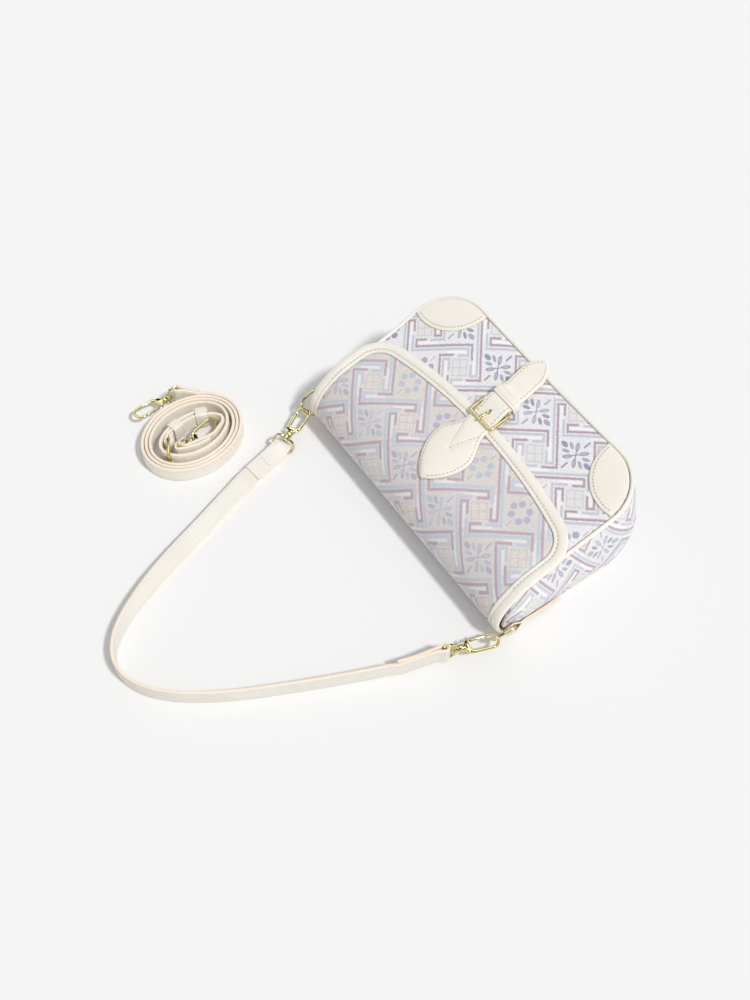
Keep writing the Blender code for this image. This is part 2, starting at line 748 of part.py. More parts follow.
def buckle_frame(parent):
    half = BELT_HALF_WIDTH + GAP + 0.1 + FRAME_WIRE
    rise = (NOSE_BAR_W - HINGE_BAR_W) / (FRAME_NOSE_S - FRAME_HINGE_S)
    outline = rounded_box(half, FRAME_HINGE_S, FRAME_NOSE_S, FRAME_CORNER_RADIUS)
    path = [belt_point(x, s, HINGE_BAR_W + rise * (s - FRAME_HINGE_S)) for x, s in outline]
    mesh = wire_mesh("buckle_frame", path, FRAME_WIRE)
    add_object("buckle_frame", mesh, metal_finish, parent=parent)


def buckle_tongue(parent):
    """A pin that wraps the hinge bar, comes up through the belt's slot and rests on the nose bar."""
    radius = FRAME_WIRE + 0.25 + TONGUE_RADIUS
    rest_w = NOSE_BAR_W + FRAME_WIRE + GAP + TONGUE_RADIUS
    path = arc((FRAME_HINGE_S, HINGE_BAR_W), radius, 180, 390, 9)
    path += [(FRAME_HINGE_S + 3.4, HINGE_BAR_W + 3.4), (FRAME_HINGE_S + 5.6, rest_w - 0.5)]
    path += [(FRAME_HINGE_S + 8, rest_w + 0.2), (FRAME_HINGE_S + 13, rest_w + 0.3)]
    path += [(FRAME_NOSE_S + 1.4, rest_w)]
    mesh = wire_mesh("buckle_tongue", [belt_point(0, s, w) for s, w in path], TONGUE_RADIUS, closed=False)
    bar = belt_point(0, FRAME_HINGE_S, HINGE_BAR_W)
    add_object("buckle_tongue", mesh, metal_finish, origin=bar, parent=parent)


def keeper_loop(parent):
    """The loop round the belt and the chape, below the buckle."""
    top = BELT_ON_CHAPE + BELT_THICKNESS + GAP
    low = CHAPE_W - GAP
    half = BELT_HALF_WIDTH + GAP
    wall = KEEPER_THICKNESS
    sections = []
    for side, edge, way in ((-1, low, -1), (1, low, -1), (1, top, 1), (-1, top, 1)):
        in_x, out_x, out_w = side * half, side * (half + wall), edge + way * wall
        ends = ((in_x, KEEPER_LOW_S, edge), (in_x, KEEPER_HIGH_S, edge))
        ends += ((out_x, KEEPER_HIGH_S, out_w), (out_x, KEEPER_LOW_S, out_w))
        sections.append([belt_point(*end) for end in ends])
    add_object("keeper_loop", ring_loft("keeper_loop", sections), leather_finish, parent=parent)


def snaps(parent):
    """A magnetic snap under the belt: the stud rides on the chape, the socket sits in the front panel."""
    stud_low = SKIN / 2 + GAP + 0.2
    flange = disc_mesh("snap_stud", belt_point, SNAP_S, stud_low, CHAPE_W - GAP, SNAP_RADIUS - 0.5)
    nub = disc_mesh("nub", belt_point, SNAP_S, -SKIN / 2 + 0.2, stud_low + 0.3, SNAP_NUB_RADIUS)
    add_object("snap_stud", combine(flange, nub, "UNION"), metal_finish, parent=parent)
    cup = disc_mesh("snap_socket", belt_point, SNAP_S, -SKIN / 2, SKIN / 2 + 0.2, SNAP_RADIUS)
    bore = disc_mesh("bore", belt_point, SNAP_S, -SKIN, SKIN, SNAP_NUB_RADIUS + 0.5)
    add_object("snap_socket", combine(cup, bore, "DIFFERENCE"), metal_finish)


def side_frame(side):
    """Axes of a side tab: out of the bag, along the ring's bar, and the tab's own middle plane."""
    tilt = math.radians(TAB_TILT)
    out = Vector((side * math.cos(tilt), 0, -math.sin(tilt)))
    along = Vector((side * math.sin(tilt), 0, math.cos(tilt)))
    near = [
        point
        for row in gusset_grid(SKIN / 2)
        for point in row
        if point.x * side > 0 and point.y > -CORNER_RADIUS / 2 and abs(point.z - TAB_MIDDLE_Z) < TAB_WIDTH
    ]
    edge = [on_flap(side * FLAP_HALF_WIDTH, s, w) for s in FOLD_S for w in (FLAP_RISE, FLAP_OUT + BINDING_PROUD)]
    beside = [out.dot(point) for point in edge if abs(point.z - TAB_MIDDLE_Z) < TAB_WIDTH * 0.3]
    seat = max(max(out.dot(point) for point in near) + GAP, max(beside) + FLAP_EDGE_GAP)
    middle = seat + TAB_THICKNESS + GAP / 2
    slide = (TAB_MIDDLE_Z + math.sin(tilt) * middle) / math.cos(tilt)
    return out, along, out * middle + along * slide


def side_place(side, y, n, t):
    out, along, middle = side_frame(side)
    return middle + Vector((0, y, 0)) + out * n + along * t


def side_tabs_and_rings():
    loop = RING_WIRE + GAP + TAB_THICKNESS / 2
    layer = TAB_THICKNESS / 2 + GAP / 2
    run = [(TAB_START_Y, layer), (RING_BAR_Y - 5.5, layer), (RING_BAR_Y - 2.6, loop * 0.72)]
    path = run + arc((RING_BAR_Y, 0), loop, 90, -90, 6) + [(y, -n) for y, n in reversed(run)]
    for word, side in (("right", 1), ("left", -1)):
        out, along, middle = side_frame(side)
        sections = []
        for i, (y, n) in enumerate(path):
            before, after = path[max(i - 1, 0)], path[min(i + 1, len(path) - 1)]
            run_y, run_n = after[0] - before[0], after[1] - before[1]
            normal = (out * run_y - Vector((0, run_n, 0))).normalized()
            centre = middle + Vector((0, y, 0)) + out * n
            sections.append(band_section(centre, along, normal, TAB_WIDTH, TAB_THICKNESS))
        name = "side_tab_" + word
        add_object(name, loft(name, sections), leather_finish)

        half = RING_HALF_WIDTH
        corner = RING_CORNER
        outline = arc((half - corner, RING_BAR_Y + corner), corner, -90, -10, 2)
        outline += [ring_bow(math.pi * i / 14) for i in range(1, 14)]
        outline += arc((-half + corner, RING_BAR_Y + corner), corner, 190, 270, 2)
        wire = [middle + Vector((0, y, 0)) + along * t for t, y in outline]
        name = "ring_" + word
        bar = middle + Vector((0, RING_BAR_Y, 0))
        add_object(name, wire_mesh(name, wire, RING_WIRE), metal_finish, origin=bar)


def ring_bow(angle):
    """A point on a ring's bow: how far along the bar's direction, and its y."""
    rise = RING_CORNER + (RING_DEPTH - RING_CORNER) * math.sin(angle)
    return RING_HALF_WIDTH * math.cos(angle), RING_BAR_Y + rise


def link_point(side):
    """Where a handle hook pulls on its ring."""
    along, y = ring_bow(math.acos(RING_LINK_T / RING_HALF_WIDTH))
    return side_place(side, y, 0, along)


HOOK_LINK_A = HOOK_ARC_A + HOOK_RADIUS - HOOK_WIRE - RING_WIRE - HOOK_SLACK


def eye_mesh():
    """The swivel eye: a D of wire with a bored boss at its top, in hook coordinates."""
    power = 3.2
    outline = []
    for i in range(1, 18):
        angle = math.pi * i / 18
        c, s = math.cos(angle), math.sin(angle)
        outline.append(
            Vector(
                (
                    EYE_DEPTH * s ** (2 / power),
                    EYE_HALF_WIDTH * math.copysign(abs(c) ** (2 / power), c),
                    0,
                )
            )
        )
    corner = 0.6
    outline = [Vector((corner, EYE_HALF_WIDTH, 0))] + outline[1:-1] + [Vector((corner, -EYE_HALF_WIDTH, 0))]
    outline += [Vector((0, corner - EYE_HALF_WIDTH, 0)), Vector((0, EYE_HALF_WIDTH - corner, 0))]
    wire = wire_mesh("eye", outline, EYE_WIRE)
    boss = turned("boss", [(BOSS_START, BOSS_RADIUS), (BOSS_END, BOSS_RADIUS)], 12)
    bore_radius = SHANK_RADIUS + SHANK_CLEARANCE
    bore = turned("bore", [(BOSS_START - 2, bore_radius), (BOSS_END + 2, bore_radius)], 12)
    return combine(combine(wire, boss, "UNION"), bore, "DIFFERENCE")


def turned(name, profile, sides=8):
    """A round solid along the hook's long axis."""
    across, up = Vector((0, 1, 0)), Vector((0, 0, 1))
    return loft(name, [ellipse_section(Vector((a, 0, 0)), across, up, r, r, sides) for a, r in profile])


def hook_mesh():
    """The hook: a peened head, a shank through the eye's boss, a barrel, the gate's shoulder, the bend."""
    up = Vector((0, 0, 1))
    barrel = BOSS_END + GAP
    head = BOSS_START - GAP
    stations = [
        (head - 1.4, 0, 1.2, 1.2),
        (head - 1.1, 0, 2.0, 2.0),
        (head - 0.1, 0, 2.0, 2.0),
        (head, 0, SHANK_RADIUS, SHANK_RADIUS),
        (barrel - 0.1, 0, SHANK_RADIUS, SHANK_RADIUS),
        (barrel, 0, 2.5, 2.5),
        (barrel + 0.5, 0, 2.8, 2.8),
        (barrel + 3.0, 0, 2.8, 2.8),
        (barrel + 3.5, 0, 2.3, 2.3),
        (barrel + 4.4, 0, 3.6, 2.1),
        (barrel + 5.6, 0, 5.2, 1.7),
        (barrel + 6.8, 0, 5.2, 1.6),
        (GATE_PIVOT_A - 0.7, -3.9, 2.0, 1.5),
        (GATE_PIVOT_A + 1.8, -4.7, 1.45, 1.4),
        (GATE_PIVOT_A + 7, -HOOK_RADIUS, HOOK_WIRE, HOOK_WIRE),
    ]
    across = Vector((0, 1, 0))
    sections = [ellipse_section(Vector((a, b, 0)), across, up, hb, hn) for a, b, hb, hn in stations]
    for a, b in arc((HOOK_ARC_A, 0), HOOK_RADIUS, -90, 90, 10):
        radial = Vector((a - HOOK_ARC_A, b, 0)).normalized()
        sections.append(ellipse_section(Vector((a, b, 0)), -radial, up, HOOK_WIRE, HOOK_WIRE))
    nose = Vector((HOOK_NOSE_A, HOOK_RADIUS, 0))
    sections.append(ellipse_section(nose, -across, up, HOOK_WIRE * 0.9, HOOK_WIRE * 0.9))
    return loft("hook", sections)


def gate_mesh():
    """The sprung gate, from its pivot in the shoulder to the nose."""
    end_a = HOOK_NOSE_A - GAP - 0.1
    across, up = Vector((0, 1, 0)), Vector((0, 0, 1))
    rise = (4.7 - GATE_PIVOT_B) / (end_a - GATE_PIVOT_A)
    stations = [(-1.05, 0.45), (-0.7, 0.85), (0.0, GATE_RADIUS), (3.0, GATE_RADIUS)]
    stations += [(end_a - GATE_PIVOT_A - 0.3, 0.95), (end_a - GATE_PIVOT_A, 0.75)]
    sections = []
    for run, radius in stations:
        centre = Vector((GATE_PIVOT_A + run, GATE_PIVOT_B + rise * run, 0))
        sections.append(ellipse_section(centre, across, up, radius, radius))
    return loft("gate", sections)


def hook_frame(bar, along, across):
    """The matrix that puts hook coordinates with the eye's bar at a point, in metres."""
    along = along.normalized()
    across = (across - along * across.dot(along)).normalized()
    up = along.cross(across)
    place = Vector(bar) * MM
    return Matrix([(along[i], across[i], up[i], place[i]) for i in range(3)] + [(0, 0, 0, 1)])


def trigger_hook(word, meshes, bar, along, eye_across, hook_across, parent):
    """Places one eye, hook and gate. The eye lies with its strap and the hook turns on the shank."""
    eye, hook, gate = (mesh.copy() for mesh in meshes)
    frame = hook_frame(bar, along, hook_across)
    add_object("hook_eye_" + word, placed(eye, hook_frame(bar, along, eye_across)), metal_finish, bar, parent)
    add_object("hook_" + word, placed(hook, frame), metal_finish, bar, parent)
    pivot = frame @ (Vector((GATE_PIVOT_A, GATE_PIVOT_B, 0)) * MM) / MM
    add_object("hook_gate_" + word, placed(gate, frame), metal_finish, pivot, parent)


def placed(mesh, frame):
    mesh.transform(frame)
    return mesh


def route_frames(points, across):
    """Running lengths, points, tangents and width directions of a strap's middle line."""
    lengths = [0.0]
    for before, after in zip(points, points[1:]):
        lengths.append(lengths[-1] + (after - before).length)
    tangents = []
    for i in range(len(points)):
        tangents.append((points[min(i + 1, len(points) - 1)] - points[max(i - 1, 0)]).normalized())
    across = [(width - run * width.dot(run)).normalized() for width, run in zip(across, tangents)]
    return lengths, points, tangents, across


def at_length(frames, length):
    """The middle line's place, tangent and width direction at a running length, carried on past the ends."""
    lengths, points, tangents, across = frames
    if length <= 0:
        return points[0] + tangents[0] * length, tangents[0], across[0]
    if length >= lengths[-1]:
        return points[-1] + tangents[-1] * (length - lengths[-1]), tangents[-1], across[-1]
    i = max(k for k in range(len(lengths) - 1) if lengths[k] <= length)
    share = (length - lengths[i]) / (lengths[i + 1] - lengths[i])
    tangent = tangents[i].lerp(tangents[i + 1], share).normalized()
    width = across[i].lerp(across[i + 1], share).normalized()
    return points[i].lerp(points[i + 1], share), tangent, width


def end_fold(thickness, signed_fold, bar_radius):
    """A strap's end in side view, as (run, stand-off) from the bar: turned-back end, loop, then on."""
    if not signed_fold:
        return [(0, 0), (2, 0)]
    fold = abs(signed_fold)
    layer = thickness / 2 + GAP / 2
    loop = bar_radius + GAP + thickness / 2
    back = [(fold, -layer), (fold / 2 + loop * 1.1, -layer), (loop * 2.2, -layer), (loop, -loop * 0.72)]
    turn = [(-x, y) for x, y in arc((0, 0), loop, -90, 90, 6)]
    ahead = [(loop, loop * 0.72), (loop * 2.2, layer), (fold, layer), (fold + 6, 0)]
    side = math.copysign(1, signed_fold)
    return [(run, stand_off * side) for run, stand_off in back + turn + ahead]


def folded_strap(name, frames, width, thickness, folds, bar_radius):
    """A flat strap whose ends turn back round a bar and lie doubled; a fold of 0 leaves a plain tip.

    A fold's sign picks the face that the end turns back on.
    """
    total = frames[0][-1]
    start, end = (end_fold(thickness, fold, bar_radius) for fold in folds)
    end = end[::-1]
    middle = [length for length in frames[0] if start[-1][0] + 2 < length < total - end[0][0] - 2]
    stations = start + [(length, 0) for length in middle] + [(total - run, n) for run, n in end]
    centres, widths = [], []
    for run, stand_off in stations:
        place, tangent, across = at_length(frames, run)
        normal = across.cross(tangent).normalized()
        centres.append(place + normal * stand_off)
        widths.append(across)
    sections = []
    for i, centre in enumerate(centres):
        run = centres[min(i + 1, len(centres) - 1)] - centres[max(i - 1, 0)]
        normal = widths[i].cross(run).normalized()
        sections.append(band_section(centre, widths[i], normal, width, thickness))
    return loft(name, sections)


def ease(share):
    share = min(1.0, max(0.0, share))
    return share * share * (3 - 2 * share)


def handle(meshes):
    """The handle strap on the floor, from the right hook round to the left one."""
    lift = math.radians(HANDLE_TILT)
    fold_depth = HANDLE_THICKNESS + GAP / 2
    loop_depth = EYE_WIRE + GAP + HANDLE_THICKNESS
    edge = math.sin(lift) * HANDLE_WIDTH / 2
    eye_depth = EYE_HALF_WIDTH + EYE_WIRE
    heights = (edge + math.cos(lift) * loop_depth + 0.1, eye_depth + 0.1)
    bars, alongs = [], []
    for side, lean, height in zip((1, -1), HOOK_LEANS, heights):
        link = link_point(side)
        drop = link.z - height
        level = math.sqrt(HOOK_LINK_A**2 - drop**2)
        angle = math.radians(lean)
        bar = link - Vector((side * math.sin(angle) * level, -math.cos(angle) * level, drop))
        bars.append(bar)
        alongs.append((link - bar).normalized())
    leads = [-along.xy.normalized() for along in alongs]
    first, last = ([bar.xy + lead * run for run in (0, 5, 10, 16)] for bar, lead in zip(bars, leads))
    knots = first
    for u, v in HANDLE_ROUTE:
        knots.append(bars[0].xy.lerp(bars[1].xy, u) + Vector((0, HANDLE_REACH * v)))
    line = spline_points(knots + last[::-1], 6.0)
    apex = max(range(len(line)), key=lambda i: line[i].y)
    runs = [0.0]
    for before, after in zip(line, line[1:]):
        runs.append(runs[-1] + (after - before).length)
    points, across = [], []
    for i, place in enumerate(line):
        run = (line[min(i + 1, len(line) - 1)] - line[max(i - 1, 0)]).normalized()
        outward = Vector((run.y, -run.x, 0))
        angle = lift + (math.pi / 2 - lift) * ease((i - 0.55 * apex) / (0.4 * apex))
        across.append(outward * math.cos(angle) + Vector((0, 0, math.sin(angle))))
        rest = math.sin(angle) * HANDLE_WIDTH / 2 + math.cos(angle) * HANDLE_THICKNESS / 2
        doubled = edge + math.cos(lift) * fold_depth
        above = (heights[0] - alongs[0].z * runs[i] - doubled) * (1 - ease((runs[i] - 7) / 12))
        start = (doubled - rest + above) * (1 - ease((runs[i] - HANDLE_FOLD - 4) / 20))
        back = runs[-1] - runs[i]
        end = (heights[1] - alongs[1].z * back - HANDLE_WIDTH / 2) * (1 - ease((back - 7) / 50))
        points.append(Vector((*place, rest + 0.02 + (start if i < apex else end))))
    frames = route_frames(points, across)
    folds = (-HANDLE_FOLD, -HANDLE_FOLD)
    mesh = folded_strap("handle_strap", frames, HANDLE_WIDTH, HANDLE_THICKNESS, folds, EYE_WIRE)
    swing = Vector((0, RING_BAR_Y + SWING_OUT, TAB_MIDDLE_Z - SWING_DROP))
    pivot = empty("handle_swing", swing)
    add_object("handle_strap", mesh, leather_finish, swing, pivot)
    level = Vector((0, 0, 1))
    for word, bar, along, width in zip(("right", "left"), bars, alongs, (frames[3][0], frames[3][-1])):
        trigger_hook(word, meshes, bar, along, width, level.cross(along), pivot)
    print("handle strap length", round(frames[0][-1] + 2 * HANDLE_FOLD), "mm")


def roll_point(turns):
    """A point of the rolled strap's middle line, a number of turns in from its outer end."""
    inset = ROLL_PITCH * turns + ROLL_LOOSENING * max(0.0, turns - ROLL_LOOSE_FROM) ** 1.3
    angle = math.radians(ROLL_START - 360 * turns)
    squash = ROLL_SQUASH * ease((turns - ROLL_SQUASH_FROM) / 0.45)
    x = (ROLL_SHORT - inset - squash) * math.cos(angle) - squash
    y = (ROLL_LONG - inset) * math.sin(angle)
    tilt = math.radians(ROLL_TILT)
    spin = Vector((x * math.cos(tilt) - y * math.sin(tilt), x * math.sin(tilt) + y * math.cos(tilt)))
    raised = ease((turns - ROLL_LOOSE_FROM - 0.2) / 0.6) * (END_HEIGHT - LONG_WIDTH / 2)
    return Vector((ROLL_CENTRE[0] + spin.x, ROLL_CENTRE[1] + spin.y, LONG_WIDTH / 2 + raised))


END_HEIGHT = EYE_HALF_WIDTH + EYE_WIRE + 0.1
UP = Vector((0, 0, 1))


def roll_frame(turns):
    """The place, run direction and inward direction of the rolled strap at a number of turns in."""
    run = roll_point(turns + 0.002) - roll_point(turns - 0.002)
    run.z = 0
    run.normalize()
    return roll_point(turns), run, Vector((run.y, -run.x, 0))


def least_gap(frames, thickness):
    """The least space between one turn of the roll and another."""
    lengths, points, _, _ = frames
    least = 1e9
    for i, a in enumerate(points):
        for j in range(i + 1, len(points)):
            if lengths[j] - lengths[i] > 45:
                least = min(least, (points[j] - a).xy.length)
    return least - thickness


def slider_bars():
    """The slider's hinge bar, nose bar and the direction from one to the other."""
    centre, run, side = roll_frame(SLIDER_TURN)
    angle = math.radians(SLIDER_TURN_OUT)
    along = run * math.cos(angle) + side * math.sin(angle)
    centre = centre + side * SLIDER_INSET
    return centre + along * (SLIDER_LENGTH / 2), centre - along * (SLIDER_LENGTH / 2), along


def strap_line(points):
    return route_frames(points, [UP] * len(points))


def long_strap(meshes):
    """The long strap rolled on its edge: a long length, a short length with the slider, and their hooks."""
    _, lead, _ = roll_frame(0.0)
    tail = [roll_point(0) - lead * LONG_TAIL * share for share in (1, 0.8, 0.6, 0.4, 0.2)]
    count = round(ROLL_STEPS * TIP_TURN)
    points = tail + [roll_point(TIP_TURN * i / count) for i in range(count + 1)]
    run = 0.0
    for i, point in enumerate(points):
        run += (point - points[i - 1]).length if i else 0.0
        point.z += (END_HEIGHT - LONG_WIDTH / 2) * (1 - ease(run / ROLL_END_RUN))
    frames = strap_line(points)
    slot = pin_slot()
    mesh = folded_strap("long_strap", frames, LONG_WIDTH, LONG_THICKNESS, (-LONG_FOLD, 0), EYE_WIRE)
    add_object("long_strap", combine(mesh, slot, "DIFFERENCE"), leather_finish)
    print("long strap length", round(frames[0][-1] + LONG_FOLD), "mm")
    print("least gap between turns", round(least_gap(frames, LONG_THICKNESS), 2), "mm")

    hinge, _, _ = slider_bars()
    apart = LONG_THICKNESS * 1.5 + GAP * 1.5
    knots = [hinge.xy]
    for i in range(8):
        turns = SHORT_START_TURN + (LOOP_TURNS[1] + 0.02 - SHORT_START_TURN) * i / 7
        place, _, side = roll_frame(turns)
        knots.append((place + side * apart).xy)
    knots += [Vector(ROLL_CENTRE) + Vector(step) for step in INNER_ROUTE]
    places = [Vector((*place, END_HEIGHT)) for place in spline_points(knots, 5.0)]
    short = strap_line(places)
    mesh = folded_strap("long_strap_short", short, LONG_WIDTH, LONG_THICKNESS, SHORT_FOLDS, EYE_WIRE)
    add_object("long_strap_short", combine(mesh, slot, "DIFFERENCE"), leather_finish)
    print("short strap length", round(short[0][-1] + SHORT_FOLDS[0] - SHORT_FOLDS[1]), "mm")

    outward = Vector((-0.05, 1, 0)).normalized()
    inward = Vector((0.26, -1, 0)).normalized()
    trigger_hook("long_outer", meshes, points[0], outward, UP, UP.cross(outward), None)
    roll = math.radians(INNER_HOOK_ROLL)
    across = inward.cross(UP) * math.cos(roll) - UP * math.sin(roll)
    trigger_hook("long_inner", meshes, places[-1], inward, UP, across, None)
    for word, turns in zip(("a", "b"), LOOP_TURNS):
        strap_loop("long_loop_" + word, turns, apart)
    slider_buckle()


def strap_loop(name, turns, apart):
    """A leather loop round both lengths of the rolled strap."""
    centre, run, side = roll_frame(turns)
    slack = GAP + 0.5
    near = -LONG_THICKNESS / 2 - slack
    far = apart + LONG_THICKNESS / 2 + slack
    half_up = LONG_WIDTH / 2 + GAP
    wall = LOOP_THICKNESS
    reach = run * (LOOP_WIDTH / 2)
    sections = []
    for edge, sign_side, sign_up in ((near, -1, -1), (far, 1, -1), (far, 1, 1), (near, -1, 1)):
        inner = centre + side * edge + UP * (sign_up * half_up)
        outer = inner + side * (sign_side * wall) + UP * (sign_up * wall)
        sections.append([inner - reach, inner + reach, outer + reach, outer - reach])
    add_object(name, ring_loft(name, sections), leather_finish)


def pin_line():
    """The slider's pin from its loop on the hinge bar to the nose bar, at the strap's mid-width."""
    hinge, nose, along = slider_bars()
    out = UP.cross(along).normalized()
    radius = SLIDER_WIRE + 0.25 + PIN_RADIUS
    points = [hinge + along * (radius * c) + out * (radius * s) for c, s in arc((0, 0), 1, 60, -180, 8)]
    points += [hinge - along * (radius * 0.9) + out * (radius * 0.6), hinge - along * 3.2 + out * radius]
    return points + [nose - along * 0.4 + out * radius]


def pin_slot():
    """The cutter that lets the pin through both lengths of strap."""
    hinge, nose, along = slider_bars()
    out = UP.cross(along).normalized()
    reach = SLIDER_WIRE + 0.25 + 2 * PIN_RADIUS + GAP
    corners = [(n * reach, z * PIN_SLOT / 2) for n, z in ((-1, -1), (1, -1), (1, 1), (-1, 1))]
    sections = []
    for place in (hinge + along * (reach + LONG_THICKNESS + 1), nose - along):
        sections.append([place + out * n + UP * z for n, z in corners])
    return loft("pin_slot", sections)


def slider_buckle():
    """A wire buckle set a little across the strap, so that the long length runs through it."""
    hinge, nose, along = slider_bars()
    centre = (hinge + nose) / 2
    half_up = LONG_WIDTH / 2 + GAP + 0.1 + SLIDER_WIRE
    outline = rounded_box(SLIDER_LENGTH / 2, -half_up, half_up, SLIDER_CORNER)
    path = [centre + along * x + UP * z for x, z in outline]
    add_object("long_slider", wire_mesh("long_slider", path, SLIDER_WIRE), metal_finish)
    pin = wire_mesh("long_pin", pin_line(), PIN_RADIUS, closed=False)
    add_object("long_pin", pin, metal_finish, origin=hinge)


def main():
    clear_scene()
    back_panel()
    front_panel()
    gusset()
    pipings()
    lining()
    corner_patches()
    top_turn = empty("flap_top_turn", on_flap(0, TOP_HINGE_S, FLAP_OUT))
    front_turn = empty("flap_front_turn", on_flap(0, FRONT_HINGE_S, FLAP_OUT))
    flap(front_turn, top_turn)
    closure_belt(front_turn)
    buckle_chape(front_turn)
    buckle_frame(front_turn)
    buckle_tongue(front_turn)
    keeper_loop(front_turn)
    snaps(front_turn)
    side_tabs_and_rings()
    meshes = (eye_mesh(), hook_mesh(), gate_mesh())
    handle(meshes)
    long_strap(meshes)


main()
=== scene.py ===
"""Looks of the brocade clutch bag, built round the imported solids.

Lengths are millimetres in the row frame (X width, +Y to the mouth, +Z up), and MM turns them into metres.
Paths and outlines repeat the part's own, with finer steps.
"""

import math
from functools import partialmethod
import bmesh
import bpy
import numpy as np
from mathutils import Matrix, Vector, noise
from mathutils.geometry import delaunay_2d_cdt


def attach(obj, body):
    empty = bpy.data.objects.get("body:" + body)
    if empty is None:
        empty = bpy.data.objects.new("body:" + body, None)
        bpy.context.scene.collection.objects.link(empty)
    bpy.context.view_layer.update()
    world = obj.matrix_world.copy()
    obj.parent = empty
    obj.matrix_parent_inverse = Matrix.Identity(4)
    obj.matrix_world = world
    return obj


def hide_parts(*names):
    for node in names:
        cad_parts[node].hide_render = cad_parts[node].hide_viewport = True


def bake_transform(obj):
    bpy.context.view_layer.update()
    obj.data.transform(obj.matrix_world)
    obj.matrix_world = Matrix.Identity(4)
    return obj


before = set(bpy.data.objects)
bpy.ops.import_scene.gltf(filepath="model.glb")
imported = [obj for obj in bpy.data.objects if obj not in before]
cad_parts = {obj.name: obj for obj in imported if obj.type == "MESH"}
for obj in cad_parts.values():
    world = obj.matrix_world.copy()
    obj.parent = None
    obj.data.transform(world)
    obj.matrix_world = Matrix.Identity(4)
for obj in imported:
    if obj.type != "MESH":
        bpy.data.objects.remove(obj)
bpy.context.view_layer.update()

MM = 0.001

# Camera: solved on the bag's corners in the photograph
CAMERA_PLACE = (-394.68, 352.08, 714.93)
CAMERA_RIGHT = (-0.55963, -0.82874, 0.0)
CAMERA_UP = (0.67528, -0.45600, 0.57971)
CAMERA_LENS = 42.516

# Bag body
WIDTH = 230.0
HEIGHT = 133.0
BASE_DEPTH = 75.0
FRONT_LEAN = math.radians(15.4)
CORNER_RADIUS = 38.0
SKIN = 2.0
PIPING_RADIUS = 1.55
GAP = 0.3
FRONT_TOP_Y = 36.0
BACK_FLAT_Y = 46.0
SIDE_TOP_BACK_Y = 55.0
SIDE_TOP_FRONT_Y = 38.0
SIDE_BULGE = 8.0
BASE_BULGE = 4.0
PANEL_INSET = 2 * PIPING_RADIUS + GAP
CORNER_RISE = Vector((3.0, 0.0, 4.5))
CLOTH_GAP = 0.35
LINING_WALL = 0.8
BEND_REACH = 6.0  # how far a bend reaches to each side of its hinge

# Patches and flap
PATCH_THICKNESS = 1.2
PATCH_CENTRE = (103.0, 5.0)
PATCH_RADIUS = 34.5
FLAP_HALF_WIDTH = WIDTH / 2 + 2.4
FLAP_TIP_V = 55.0
FLAP_TIP_SAG = 10.0
FLAP_CORNER_RADIUS = 28.0
FLAP_RISE = 2.4
FLAP_LINING = 0.8
FLAP_CLOTH = 1.6
FLAP_OUT = FLAP_RISE + FLAP_LINING + GAP + FLAP_CLOTH
BINDING_WIDTH = 9.5
FOLD_V = 105.0
FOLD_MIDDLE_Z = 20.0
FOLD_PULLS = (13.0, 16.0, 11.0, 12.0)
FOLD_STEPS = 24

# Buckled closure
BELT_LEAN = 0.1
BELT_THICKNESS = 2.0
BELT_HALF_WIDTH = 10.3
BELT_ON_FLAP = FLAP_OUT + 0.6
LEAF_S = 88.0
LEAF_HALF_WIDTH = 19.5
LEAF_LENGTH = 30.0
LEAF_NECK_S = 64.0
BELT_POINT_S = 9.0
BELT_END_S = -5.5
FRAME_WIRE = 1.2
FRAME_HINGE_S = 42.0
FRAME_NOSE_S = 60.0
FRAME_CORNER = 2.6
CHAPE_THICKNESS = 1.2
CHAPE_HALF_WIDTH = 9.4
CHAPE_END_S = 8.0
CHAPE_W = 2.5
KEEPER_WALL = 0.9
KEEPER_LOW_S = 30.6
KEEPER_HIGH_S = 38.0
TONGUE_RADIUS = 0.85
SLOT_HALF_WIDTH = 1.7
SLOT_END_S = 50.5
HOLE_S = (49.4, 53.2)
HOLE_HALF_WIDTH = 1.2
SNAP_S = 20.0
SNAP_HOLE_RADIUS = 6.3
BELT_STITCH_PITCH = 2.7

# Side tabs, rings and hooks
TAB_TILT = math.radians(22.0)
TAB_MIDDLE = Vector((121.6, 0.0, 13.5))
TAB_WIDTH = 17.0
TAB_THICKNESS = 1.6
TAB_DRAWN = 1.0  # each layer of the side tabs as drawn
TAB_SINK = 0.6  # the drawn tabs lie this much closer to the gusset
TAB_START_Y = 16.0
RING_BAR_Y = 56.6
RING_WIRE = 1.25
RING_HALF_WIDTH = 10.1
RING_DEPTH = 14.5
RING_CORNER = 1.2
RING_LINK_T = -3.5
EYE_WIRE = 1.1
EYE_HALF_WIDTH = 8.6
EYE_DEPTH = 8.2
BOSS_START = 6.6
BOSS_END = 9.9
SHANK_RADIUS = 1.05
HOOK_WIRE = 1.3
HOOK_RADIUS = 4.9
HOOK_ARC_A = 33.0
HOOK_NOSE_A = 30.8
GATE_PIVOT_A = 19.2
GATE_PIVOT_B = 3.9
HOOK_LINK_A = HOOK_ARC_A + HOOK_RADIUS - HOOK_WIRE - RING_WIRE - 0.8
DRAWN = 0.84  # the wires as drawn, beside the solids

# Handle
HANDLE_WIDTH = 14.0
HANDLE_THICKNESS = 2.2
HANDLE_REACH = 187.0
HANDLE_TILT = math.radians(25.0)
HANDLE_FOLD = 33.0
HOOK_LEANS = (27.0, 19.0)
HANDLE_ROUTE = (
    (0.0585, 0.22), (0.137, 0.45), (0.217, 0.67), (0.30, 0.855), (0.378, 0.965), (0.465, 1.008),
    (0.56, 0.98), (0.65, 0.89), (0.74, 0.735), (0.825, 0.535), (0.91, 0.31), (0.975, 0.12),
)

